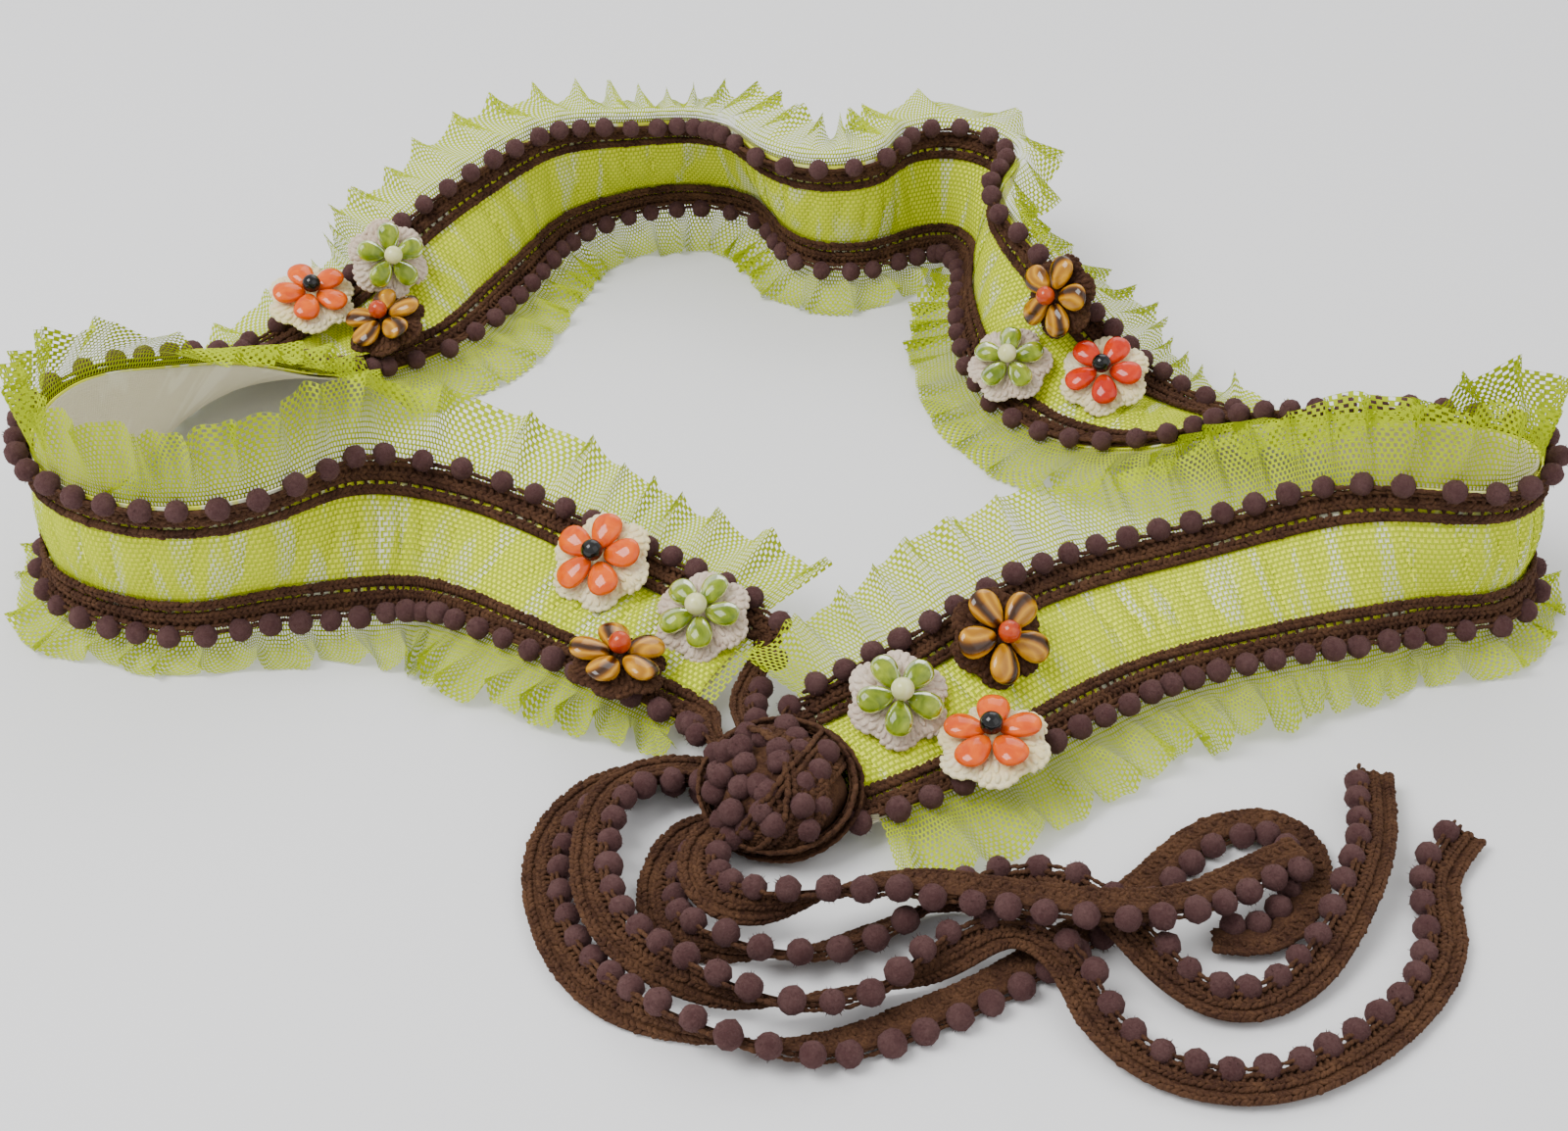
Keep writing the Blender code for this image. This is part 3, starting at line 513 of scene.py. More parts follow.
def tie_routes():
    """The routes of the four ties by name, from the band's ends to the knot."""
    found = {}
    for name, (tip, side, points) in TIES.items():
        place = 0 if tip == "left" else BAND.length
        middle, along, across, face = BAND.frame(place)
        away = -along if tip == "left" else along
        roll = SECTIONS[0][4] if tip == "left" else SECTIONS[-1][4]
        roll = roll if tip == "right" else 180 - roll
        start = middle + across * (side * (FACE_HALF + TIE_WIDTH / 2)) + face * TIE_RISE
        rows = [(*start, roll), (*(start + away * TIE_STRAIGHT), roll)]
        for x, y, layer in points:
            spot = KNOT_SPOT + Vector((x * TAIL_SPAN, y * TAIL_SPAN, layer * LAYER))
            rows.append((*spot, 90))
        found[name] = Route(rows, TIE_GATHER, side if tip == "right" else -side)
    return found


# Meshes

def mesh_from(data, name):
    """A mesh from a bmesh, which is freed."""
    mesh = bpy.data.meshes.new(name)
    data.to_mesh(mesh)
    data.free()
    return mesh


def corner_points(data):
    """A bmesh's points as rows."""
    return np.array([vert.co for vert in data.verts])


def move_points(data, points):
    """Put a bmesh's points where the rows say."""
    for vert, point in zip(data.verts, points):
        vert.co = point


def new_piece(name, data, material, smooth=True):
    """A named object from a mesh or bmesh, riding on the belt."""
    if isinstance(data, bmesh.types.BMesh):
        mesh = mesh_from(data, name)
    else:
        mesh = data
        mesh.name = name
    if smooth:
        mesh.polygons.foreach_set("use_smooth", np.ones(len(mesh.polygons), dtype=bool))
    mesh.materials.append(material)
    thing = bpy.data.objects.new(name, mesh)
    bpy.context.scene.collection.objects.link(thing)
    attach(thing, "root")
    return thing


def unit_of(data):
    """Corner points and face lists of a small shape made with bmesh operators."""
    data.verts.index_update()
    points = corner_points(data)
    faces = [[vert.index for vert in face.verts] for face in data.faces]
    data.free()
    return points, faces


def stitch_unit(sides=STITCH_SIDES, rings=STITCH_RINGS):
    """A plump stitch, one unit across each way and long along X."""
    data = bmesh.new()
    bmesh.ops.create_uvsphere(data, u_segments=sides, v_segments=rings, radius=0.5)
    turn = Matrix.Rotation(math.radians(90), 3, "Y")
    bmesh.ops.rotate(data, verts=data.verts, matrix=turn)
    return unit_of(data)


def ball_unit():
    """A ball one unit across."""
    data = bmesh.new()
    bmesh.ops.create_icosphere(data, subdivisions=2, radius=0.5)
    return unit_of(data)


def hair_unit():
    """A loose fibre one unit long that stands along Z."""
    data = bmesh.new()
    bmesh.ops.create_circle(data, cap_ends=False, segments=3, radius=0.5)
    corners = list(data.verts)
    data.faces.new(corners)
    bmesh.ops.scale(data, verts=data.verts, vec=(0.26, 1, 1))
    bmesh.ops.rotate(data, verts=data.verts, matrix=Matrix.Rotation(math.radians(90), 3, "X"))
    bmesh.ops.translate(data, verts=data.verts, vec=(0, 0, 0.3))
    return unit_of(data)


def copies_mesh(unit, points):
    """One mesh of many copies of a unit, with the copies' points as (copy, corner, 3)."""
    count, corners = points.shape[:2]
    faces = unit[1]
    sizes = np.array([len(face) for face in faces])
    loops = np.concatenate([np.array(face) for face in faces])
    shift = (np.arange(count) * corners)[:, None]
    all_loops = (loops[None, :] + shift).ravel()
    totals = np.tile(sizes, count)
    starts = np.concatenate([[0], np.cumsum(totals)[:-1]])
    mesh = bpy.data.meshes.new("copies")
    mesh.vertices.add(count * corners)
    mesh.vertices.foreach_set("co", points.astype(np.float32).ravel())
    mesh.loops.add(len(all_loops))
    mesh.loops.foreach_set("vertex_index", all_loops.astype(np.int32))
    mesh.polygons.add(len(totals))
    mesh.polygons.foreach_set("loop_start", starts.astype(np.int32))
    mesh.update(calc_edges=True)
    return mesh


def joined(meshes):
    """Several meshes as one."""
    data = bmesh.new()
    for mesh in meshes:
        data.from_mesh(mesh)
        bpy.data.meshes.remove(mesh)
    return mesh_from(data, "joined")


def random_turns(random, count):
    """Random rotations as an array of 3 x 3 matrices."""
    quaternions = unit_rows(random.normal(size=(count, 4)))
    w, x, y, z = quaternions.T
    rows = [
        [1 - 2 * (y * y + z * z), 2 * (x * y - z * w), 2 * (x * z + y * w)],
        [2 * (x * y + z * w), 1 - 2 * (x * x + z * z), 2 * (y * z - x * w)],
        [2 * (x * z - y * w), 2 * (y * z + x * w), 1 - 2 * (x * x + y * y)],
    ]
    return np.array(rows).transpose(2, 0, 1)


def laid_stitches(unit, shape, angle, size):
    """Copies of a stitch, scaled and turned about Z, as (copy, corner, 3)."""
    made = unit[0][None] * np.array(shape) * size[:, None, None]
    cos = np.cos(angle)[:, None]
    sin = np.sin(angle)[:, None]
    x = made[..., 0] * cos - made[..., 1] * sin
    y = made[..., 0] * sin + made[..., 1] * cos
    return np.stack([x, y, made[..., 2]], axis=-1)


def tape_stitches(place, length, random, scale=1.0):
    """Crochet stitches along a tape.  place turns (along, from edge, height) into the world."""
    unit = stitch_unit()
    batches = []
    for edge, height, spacing, long, thick, slant in STITCH_ROWS:
        count = max(2, int(length / (spacing * MM * scale)))
        middle = (np.arange(count) + 0.5) * length / count
        middle = middle + random.normal(0, 0.00012, count)
        angle = np.radians(slant + random.normal(0, 6, count))
        size = MM * scale * (1 + random.normal(0, 0.07, count))
        spots = laid_stitches(unit, (long, thick, thick), angle, size)
        from_edge = edge * MM * scale + random.normal(0, STITCH_STRAY, count)
        level = height * MM + random.normal(0, STITCH_STRAY, count)
        spots = spots + np.stack([middle, from_edge, level], axis=1)[:, None]
        batches.append(place(spots.reshape(-1, 3)).reshape(spots.shape))
    return copies_mesh(unit, np.concatenate(batches))


# Ribbons of close yarn behind a trim's stitches.  Columns: near and far edge in
# millimetres from the tape's free edge
BAND_RIBBONS = [(0.3, 2.6), (4.0, 8.8)]
TIE_RIBBONS = [(0.3, 8.8)]
RIBBON_COLUMN = 0.002
RIBBON_LEVEL = 0.0006
RIBBON_WALL = 0.0005

# The lowest middle of a tail's pompom, as a share of its width
POMPOM_LOWEST = 0.60

# A pompom's lumps, its fullness over its usual width and how much that varies, as shares
POMPOM_LUMP = 0.030
POMPOM_SWELL = 1.10
POMPOM_VARY = 0.035


def tape_ribbons(place, length, ribbons, scale=1.0):
    """Thin ribbons of close yarn that carry the stitches and leave the eyelets open."""
    meshes = []
    for near, far in ribbons:
        data = bmesh.new()
        columns = int(length / RIBBON_COLUMN)
        bmesh.ops.create_grid(data, x_segments=columns, y_segments=3, size=0.5)
        spots = corner_points(data)
        s = (spots[:, 0] + 0.5) * length
        y = MM * scale * (near + (far - near) * (spots[:, 1] + 0.5))
        move_points(data, place(np.stack([s, y, np.full_like(s, RIBBON_LEVEL)], axis=1)))
        bmesh.ops.solidify(data, geom=list(data.faces), thickness=RIBBON_WALL)
        meshes.append(mesh_from(data, "ribbon"))
    return meshes


def pompom_balls(centres, random):
    """Balls of cut yarn, each a little lumpy and turned its own way."""
    unit = ball_unit()
    count = len(centres)
    lumps = 1 + random.normal(0, POMPOM_LUMP, (count, len(unit[0]), 1))
    size = POMPOM * (POMPOM_SWELL + random.normal(0, POMPOM_VARY, (count, 1, 1)))
    points = np.einsum("nij,mj->nmi", random_turns(random, count), unit[0])
    return copies_mesh(unit, points * lumps * size + centres[:, None])


def pompom_hairs(centres, random, settings):
    """Loose fibres that stand out of every pompom."""
    unit = hair_unit()
    count = len(centres) * settings.hairs
    turns = random_turns(random, count)
    long = settings.hair * (0.5 + random.random((count, 1, 1)))
    points = unit[0][None] * long
    points = points + np.array([0, 0, 1]) * (POMPOM * 0.49)
    points = np.einsum("nij,nmj->nmi", turns, points)
    return copies_mesh(unit, points + np.repeat(centres, settings.hairs, axis=0)[:, None])


def add_pompoms(name, centres, random, settings):
    """Pompoms and their fuzz as one piece."""
    fuzzy = joined([pompom_balls(centres, random), pompom_hairs(centres, random, settings)])
    new_piece(name + "_pompoms", fuzzy, MATERIALS["pompom"])


def pompoms_along(place, length, line, height, random, settings):
    """Pompom centres at even spacing on a tape's line, as world points."""
    count = max(1, round(length / settings.spacing))
    along = (np.arange(count) + 0.5) * length / count + random.normal(0, 0.0003, count)
    spots = np.stack([
        along,
        line + random.normal(0, 0.0002, count),
        height + random.normal(0, 0.0002, count),
    ], axis=1)
    return place(spots)


# The net

def flat_net(length, width, settings, thread):
    """A flat hexagonal net of thin ribbons, as a bmesh of (along, across, out)."""
    half = settings.cell / 2
    edge = settings.cell / math.sqrt(3)
    columns = int(length / half)
    rows = max(2, int(round(width / (1.5 * edge))))
    data = bmesh.new()
    bmesh.ops.create_grid(data, x_segments=columns, y_segments=rows, size=0.5)
    data.verts.ensure_lookup_table()
    wide = columns + 1
    spare = []
    for link in data.edges:
        first, second = sorted(vert.index for vert in link.verts)
        if second - first != 1 and (first % wide + first // wide) % 2:
            spare.append(link)
    bmesh.ops.delete(data, geom=list(data.faces), context="FACES_ONLY")
    bmesh.ops.delete(data, geom=[link for link in spare if link.is_valid], context="EDGES")
    for vert in data.verts:
        column = round((vert.co.x + 0.5) * columns)
        row = round((vert.co.y + 0.5) * rows)
        lean = edge / 4 if (column + row) % 2 else -edge / 4
        vert.co = (column * length / columns, row * width / rows + lean, 0)
    swept = bmesh.ops.extrude_edge_only(data, edges=list(data.edges))
    moved = [item for item in swept["geom"] if isinstance(item, bmesh.types.BMVert)]
    step = (thread, thread * 0.15, thread * 0.10)
    bmesh.ops.translate(data, verts=moved, vec=step)
    return data


def lay_net(data, mapping):
    """Put a flat net through a mapping of rows of (along, across, out)."""
    points = mapping(corner_points(data))
    mesh = mesh_from(data, "net")
    mesh.vertices.foreach_set("co", points.astype(np.float32).ravel())
    mesh.update()
    return mesh


def wander(places, step, random, low, high):
    """A smooth random value along the places, with a knot at every step."""
    knots = np.arange(places.min() - step, places.max() + 2 * step, step)
    return np.interp(places, knots, random.uniform(low, high, len(knots)))


class RuffleCloth:
    """The gathered surface of one ruffle."""

    STEPS = 26

    def __init__(self, side, lean, reach, random, settings):
        self.side = side
        places = BAND.places
        self.depth = RUFFLE_FOLD - RUFFLE_ROOT + RUFFLE_REACH
        fold = RUFFLE_FOLD - RUFFLE_ROOT
        down = np.linspace(0, 1, self.STEPS)[None, :] * self.depth
        turn = np.clip((down - fold * 0.55) / (fold * 0.9), 0, 1)
        turn = turn * turn * (3 - 2 * turn)
        angle = np.radians(lean)[:, None] * turn
        step = self.depth / (self.STEPS - 1)
        short = np.where(down > fold, reach[:, None], 1.0) * step
        across = np.cumsum(np.cos(angle) * short, axis=1) - np.cos(angle[:, :1]) * step
        out = np.cumsum(np.sin(angle) * short, axis=1)
        self.across = RUFFLE_ROOT + across
        self.out = CLOTH_WALL / 2 + out
        self.angle = angle
        drawn = {}
        for name, (step, least, most) in PLEATS.items():
            drawn[name] = wander(places, settings.pleat * step, random, least, most)
        self.phase = np.cumsum(2 * math.pi * FINE / (drawn["length"] * settings.pleat))
        self.swing = drawn["swing"] * settings.depth
        self.sway = drawn["sway"] * settings.depth
        self.fold = drawn["fold"] * settings.depth
        self.flop = drawn["flop"] * settings.depth
        self.hem = wander(places, settings.pleat * 0.8, random, 0.0, HEM_SHORT[side])
        if side > 0:
            self.hem = self.hem + SQUASH * np.clip(np.cos(np.radians(BAND.roll)), 0, 1) ** 2
        self.flutter = random.uniform(0, 6.3)
        self.fullness = settings.fullness

    def table(self, grid, places, share):
        """A (place, step) table read at arrays of places and shares."""
        spot = np.clip(places / BAND.length, 0, 1) * (grid.shape[0] - 1)
        low = np.minimum(spot.astype(int), grid.shape[0] - 2)
        a = spot - low
        mark = np.clip(share, 0, 1) * (self.STEPS - 1)
        left = np.minimum(mark.astype(int), self.STEPS - 2)
        b = mark - left
        near = grid[low, left] * (1 - b) + grid[low, left + 1] * b
        far = grid[low + 1, left] * (1 - b) + grid[low + 1, left + 1] * b
        return near * (1 - a) + far * a

    def at(self, spots):
        """World points for rows of (along the gathered net, from the root, out)."""
        s = spots[:, 0] / self.fullness
        share = np.clip(spots[:, 1] / self.depth, 0, 1)
        open_share = np.clip((share - ROOT_SHARE) / (1 - ROOT_SHARE), 0, 1) ** 0.9
        share = share * (1 - BAND.blend(self.hem, s) * open_share)
        phase = BAND.blend(self.phase, s)
        swing = BAND.blend(self.swing, s) * np.tanh(PANEL * np.sin(phase)) / math.tanh(PANEL)
        ripple = np.sin(2.7 * phase + self.flutter)
        swing = swing + BAND.blend(self.flop, s) + 0.25 * self.swing.mean() * ripple
        sway = 0.4 * BAND.blend(self.sway, s) + BAND.blend(self.fold, s) * np.cos(phase)
        finish = np.clip(1 - (BAND.length - s) / TIP_FAN, 0, 1) ** 2
        finish = finish - np.clip(1 - s / TIP_FAN, 0, 1) ** 2
        sway = sway + TIP_SPREAD * finish
        angle = self.table(self.angle, s, share)
        across = self.table(self.across, s, share)
        out = self.table(self.out, s, share)
        lift = swing * open_share + spots[:, 2]
        across = across - np.sin(angle) * lift
        out = out + np.cos(angle) * lift
        place = np.stack([s + sway * open_share, across * self.side, out], axis=1)
        points = BAND.at(place)
        above = points[:, 2] - FLOOR_LEVEL
        points[:, 2] = FLOOR_LEVEL + (above + np.hypot(above, FLOOR_SETTLE)) / 2
        return points


# Materials

BLACK = (0, 0, 0)
WHITE = (1, 1, 1)
# Sockets of a colour mix: its two colours and its result
MIX_COLOURS = (6, 7)
MIX_RESULT = 2
# Scale of the wave textures that make the cloths' weave
WEAVE = 2600.0 / 6.28


def new_material(name, colour, roughness, **values):
    """A Principled material and its node tree, with plain socket values."""
    made = bpy.data.materials.new(name)
    made.use_nodes = True
    shader = made.node_tree.nodes["Principled BSDF"]
    shader.inputs["Base Color"].default_value = (*colour, 1)
    shader.inputs["Roughness"].default_value = roughness
    for socket, value in values.items():
        shader.inputs[socket.replace("_", " ")].default_value = value
    return made, made.node_tree, shader


def add_node(tree, kind, **inputs):
    """A shader node with the given input values."""
    node = tree.nodes.new(kind)
    for socket, value in inputs.items():
        node.inputs[socket.replace("_", " ")].default_value = value
    return node


def join_nodes(tree, *joins):
    """Link nodes, each join being (from node, its output, to node, its input)."""
    for source, output, target, entry in joins:
        tree.links.new(source.outputs[output], target.inputs[entry])


def object_noise(tree, **inputs):
    """Noise in the piece's Object coordinates."""
    spot = tree.nodes.new("ShaderNodeTexCoord")
    noise = add_node(tree, "ShaderNodeTexNoise", **inputs)
    join_nodes(tree, (spot, "Object", noise, "Vector"))
    return noise


def add_ramp(tree, marks):
    """A colour ramp with the given marks of position and colour."""
    node = tree.nodes.new("ShaderNodeValToRGB")
    elements = node.color_ramp.elements
    for element, (position, colour) in zip(elements, (marks[0], marks[-1])):
        element.position = position
        element.color = (*colour, 1)
    for position, colour in marks[1:-1]:
        elements.new(position).color = (*colour, 1)
    return node


def add_mix(tree, *colours):
    """A colour mix, with its two colours where they are plain."""
    node = tree.nodes.new("ShaderNodeMix")
    node.data_type = "RGBA"
    for socket, colour in zip(MIX_COLOURS, colours):
        node.inputs[socket].default_value = (*colour, 1)
    return node


def add_math(tree, operation, value=0.5):
    """A Math node with its second value."""
    node = tree.nodes.new("ShaderNodeMath")
    node.operation = operation
    node.inputs[1].default_value = value
    return node


def uv_map(tree, name):
    """A node that reads one of the piece's UV maps."""
    node = tree.nodes.new("ShaderNodeUVMap")
    node.uv_map = name
    return node


def new_group(name, inputs, outputs):
    """An empty shader group with named sockets."""
    group = bpy.data.node_groups.new(name, "ShaderNodeTree")
    for socket, kind, value in inputs:
        made = group.interface.new_socket(socket, in_out="INPUT", socket_type=kind)
        made.default_value = value
    for socket, kind in outputs:
        group.interface.new_socket(socket, in_out="OUTPUT", socket_type=kind)
    start = group.nodes.new("NodeGroupInput")
    end = group.nodes.new("NodeGroupOutput")
    return group, start, end


def yarn_group():
    """Colour and fibre relief of wool, shared by every yarn."""
    group, start, end = new_group("Wool fibres", [
        ("Dark", "NodeSocketColor", (0.05, 0.02, 0.02, 1)),
        ("Light", "NodeSocketColor", (0.2, 0.1, 0.05, 1)),
        ("Scale", "NodeSocketFloat", 900.0),
        ("Patch", "NodeSocketFloat", 120.0),
        ("Relief", "NodeSocketFloat", 0.6),
    ], [("Color", "NodeSocketColor"), ("Normal", "NodeSocketVector")])
    fibre = object_noise(group, Detail=6.0, Roughness=0.7, Distortion=1.2)
    patch = object_noise(group, Detail=3.0, Roughness=0.6)
    ramp = add_ramp(group, [(0.42, BLACK), (0.72, WHITE)])
    blend = add_math(group, "MULTIPLY_ADD", 0.62)
    share = add_math(group, "MULTIPLY", 0.40)
    mix = add_mix(group)
    bump = add_node(group, "ShaderNodeBump", Distance=0.0007)
    join_nodes(
        group,
        (start, "Scale", fibre, "Scale"),
        (start, "Patch", patch, "Scale"),
        (patch, "Fac", share, 0),
        (fibre, "Fac", blend, 0),
        (share, 0, blend, 2),
        (blend, 0, ramp, "Fac"),
        (ramp, "Color", mix, "Factor"),
        (start, "Dark", mix, MIX_COLOURS[0]),
        (start, "Light", mix, MIX_COLOURS[1]),
        (start, "Relief", bump, "Strength"),
        (fibre, "Fac", bump, "Height"),
        (mix, MIX_RESULT, end, "Color"),
        (bump, "Normal", end, "Normal"),
    )
    return group


def yarn_material(name, dark, light, scale, patch, relief, fuzz):
    """Wool yarn with a soft sheen."""
    made, tree, shader = new_material(
        name, dark, 0.95, Sheen_Weight=fuzz, Sheen_Roughness=0.5, Specular_IOR_Level=0.15)
    shader.inputs["Sheen Tint"].default_value = (*light, 1)
    wool = tree.nodes.new("ShaderNodeGroup")
    wool.node_tree = bpy.data.node_groups.get("Wool fibres") or yarn_group()
    values = {"Dark": (*dark, 1), "Light": (*light, 1), "Scale": scale, "Patch": patch, "Relief": relief}
    for socket, value in values.items():
        wool.inputs[socket].default_value = value
    join_nodes(tree, (wool, "Color", shader, "Base Color"), (wool, "Normal", shader, "Normal"))
    return made


def net_material(name, colour):
    """Nylon thread: a little glossy, with slightly uneven colour."""
    made, tree, shader = new_material(name, colour, 0.6, Specular_IOR_Level=0.06)
    noise = object_noise(tree, Scale=70.0, Detail=3.0)
    red, green, blue = colour
    darker = (red * 0.82, green * 0.86, blue)
    lighter = (min(1, red * 1.12), min(1, green * 1.10), blue + 0.01)
    mix = add_mix(tree, darker, lighter)
    join_nodes(tree, (noise, "Fac", mix, "Factor"), (mix, MIX_RESULT, shader, "Base Color"))
    return made


def cloth_material(name, colour, fold_highlight):
    """Woven cloth read from its UV map: U along and V across, both in metres, with painted highlight in
    pale streaks where light catches its folds.
    """
    made, tree, shader = new_material(name, colour, 0.9, Specular_IOR_Level=0.05)
    uv = uv_map(tree, "cloth")
    place = add_node(tree, "ShaderNodeMapping", Scale=(1.0, 0.22, 1.0))
    # Painted highlight: pale streaks across the band that stand for light catching the cloth's folds
    highlight_streaks = add_node(tree, "ShaderNodeTexNoise", Scale=150.0, Detail=2.0, Distortion=0.6)
    ramp = add_ramp(tree, [(0.53, BLACK), (0.62, WHITE)])
    mix = add_mix(tree, colour, fold_highlight)
    warp = add_node(tree, "ShaderNodeTexWave", Scale=WEAVE, Distortion=0.4, Detail=1.0)
    weft = add_node(tree, "ShaderNodeTexWave", Scale=WEAVE, Distortion=0.4, Detail=1.0)
    weft.bands_direction = "Y"
    both = add_math(tree, "ADD")
    bump = add_node(tree, "ShaderNodeBump", Strength=0.35, Distance=0.0002)
    join_nodes(
        tree,
        (uv, "UV", place, "Vector"),
        (place, "Vector", highlight_streaks, "Vector"),
        (highlight_streaks, "Fac", ramp, "Fac"),
        (ramp, "Color", mix, "Factor"),
        (mix, MIX_RESULT, shader, "Base Color"),
        (uv, "UV", warp, "Vector"),
        (uv, "UV", weft, "Vector"),
        (warp, "Fac", both, 0),
        (weft, "Fac", both, 1),
        (both, 0, bump, "Height"),
        (bump, "Normal", shader, "Normal"),
    )
    return made


def glass_material(name, deep, pale, through):
    """Pressed glass or resin beads: clear with clouded colour inside."""
    made, tree, shader = new_material(
        name, deep, 0.08, Transmission_Weight=through, IOR=1.45, Specular_IOR_Level=0.5)
    noise = object_noise(tree, Scale=240.0, Detail=3.0, Distortion=1.0)
    ramp = add_ramp(tree, [(0.35, deep), (0.70, pale)])
    join_nodes(tree, (noise, "Fac", ramp, "Fac"), (ramp, "Color", shader, "Base Color"))
    return made


def tiger_material(name):
    """Tiger's eye: the stone's brown and golden bands that run along each bead's own U, with the brightest
    gold a painted silky sheen.
    """
    made, tree, shader = new_material(name, (0.30, 0.13, 0.02), 0.10, Specular_IOR_Level=0.45)
    uv = uv_map(tree, "bead")
    wave = add_node(tree, "ShaderNodeTexWave", Scale=0.42, Distortion=3.2, Detail=4.0, Detail_Scale=1.1)
    wave.bands_direction = "Y"
    # The stone's own brown and gold bands; the brightest gold mark at 0.78 is a painted sheen of light off
    # its fibres
    ramp = add_ramp(tree, [
        (0.0, (0.035, 0.013, 0.004)), (0.18, (0.10, 0.036, 0.004)),
        (0.42, (0.33, 0.125, 0.002)), (0.78, (0.64, 0.300, 0.006)), (1.0, (0.36, 0.145, 0.004)),
    ])
    join_nodes(
        tree,
        (uv, "UV", wave, "Vector"),
        (wave, "Fac", ramp, "Fac"),
        (ramp, "Color", shader, "Base Color"),
    )
    return made


MATERIALS = {}


def make_materials(colours):
    """All of the belt's materials by name."""
    MATERIALS["net"] = net_material("net_thread", tuple(colours.net))
    # The third colour of each cloth is a painted highlight, laid in pale streaks on its folds
    MATERIALS["cover"] = cloth_material("cover_cloth", tuple(colours.cloth), (0.99, 0.98, 0.74))
    MATERIALS["lining"] = cloth_material("lining_cloth", tuple(colours.lining), (0.80, 0.75, 0.60))
    # Columns: name, darker and lighter colour, scale of the fibres and of the
    # patches, relief and fuzz
    for name, dark, light, scale, patch, relief, fuzz in (
            ("brown", colours.yarn, tuple(colours.yarn_light), 900.0, 120.0, 0.6, 0.5),
            ("pompom", colours.pompom, (0.125, 0.066, 0.062), 1300.0, 200.0, 0.9, 0.6),
            ("cream", colours.cream, (0.95, 0.88, 0.66), 800.0, 90.0, 0.7, 0.6),
            ("beige", colours.beige, (0.84, 0.74, 0.62), 800.0, 90.0, 0.7, 0.6)):
        MATERIALS[name] = yarn_material(name + "_yarn", tuple(dark), light, scale, patch, relief, fuzz)
    # Columns: name, deeper and paler colour, share of light that passes
    for name, deep, pale, through in (
            ("orange", colours.orange, (0.84, 0.13, 0.0), 0.0),
            ("red", colours.red, (0.72, 0.040, 0.0), 0.0),
            ("green", colours.green, (0.50, 0.62, 0.03), 0.45),
            ("black", (0.004, 0.004, 0.004), (0.012, 0.012, 0.012), 0.0),
            ("jade", (0.60, 0.60, 0.22), (0.78, 0.77, 0.42), 0.0),
            ("carnelian", (0.38, 0.028, 0.004), (0.60, 0.075, 0.01), 0.0)):
        MATERIALS[name] = glass_material(name + "_bead", tuple(deep), pale, through)
    MATERIALS["tiger"] = tiger_material("tiger_eye_bead")


# Pieces


class Puffs:
    """Soft puffs of cloth between sharp creases that cross the band at a slant."""

    def __init__(self, random):
        places = BAND.places
        wave = wander(places, PUFF_SPACING * 2.1, random, 0.55, 1.7) * PUFF_SPACING
        self.phase = np.cumsum(math.pi * FINE / wave)
        self.slant = wander(places, PUFF_SPACING * 3.3, random, -PUFF_SLANT, PUFF_SLANT)
        self.height = PUFF_HEIGHT * wander(places, PUFF_SPACING * 1.6, random, 0.55, 1.15)

    def at(self, s, u):
        """Height of the puffs at the places; u is a share of the way to the edge."""
        skewed = s + BAND.blend(self.slant, s) * u
        puff = np.abs(np.sin(BAND.blend(self.phase, skewed))) ** 0.5
        return BAND.blend(self.height, s) * puff * np.clip(1 - u * u, 0, 1)


def cloth_strip(name, node, layer, puffs, random):
    """A cloth strip as wide as the band, with puffs between the trims where it has any."""
    level, wrinkle, wall = layer
    columns = int(BAND.length / STRIP_COLUMN)
    data = bmesh.new()
    bmesh.ops.create_grid(data, x_segments=columns, y_segments=STRIP_ROWS, size=0.5)
    uv = data.loops.layers.uv.new("cloth")
    for face in data.faces:
        for loop in face.loops:
            loop[uv].uv = ((loop.vert.co.x + 0.5) * BAND.length, loop.vert.co.y * 2 * CLOTH_HALF)
    spots = np.array([(vert.co.x + 0.5, vert.co.y * 2) for vert in data.verts])
    s = spots[:, 0] * BAND.length
    u = spots[:, 1] * CLOTH_HALF
    fold = wander(s + 0.2 * u, 0.0031, random, -1, 1)
    out = level + wrinkle * fold * (1 - spots[:, 1] ** 4)
    if puffs:
        out = out + puffs.at(s, u / FACE_HALF)
    move_points(data, BAND.at(np.stack([s, u, out], axis=1)))
    thing = new_piece(name + "_strip", data, MATERIALS[name])
    shell = thing.modifiers.new("wall", "SOLIDIFY")
    shell.thickness = wall
    shell.offset = 0
    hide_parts(node)


def make_cloth(net_sizes):
    """The cream lining, the cover cloth and the net stretched over it."""
    random = np.random.default_rng(SEEDS["cloth"])
    puffs = Puffs(random)
    cloth_strip("lining", "lining", LINING, None, random)
    cloth_strip("cover", "tulle_cover", COVER, puffs, random)
    width = 2 * FACE_HALF + NET_MARGIN
    long = (BAND.length + 2 * NET_OVERHANG) * NET_SLACK
    data = flat_net(long, width, net_sizes, net_sizes.cover_thread)

    def over(spots):
        s = spots[:, 0] / NET_SLACK - NET_OVERHANG
        u = spots[:, 1] - width / 2
        out = NET_LEVEL + puffs.at(s, u / FACE_HALF) + spots[:, 2]
        return BAND.at(np.stack([s, u, out], axis=1))

    net = new_piece("cover_net", lay_net(data, over), MATERIALS["net"], False)
    make_frayed_ends(random)


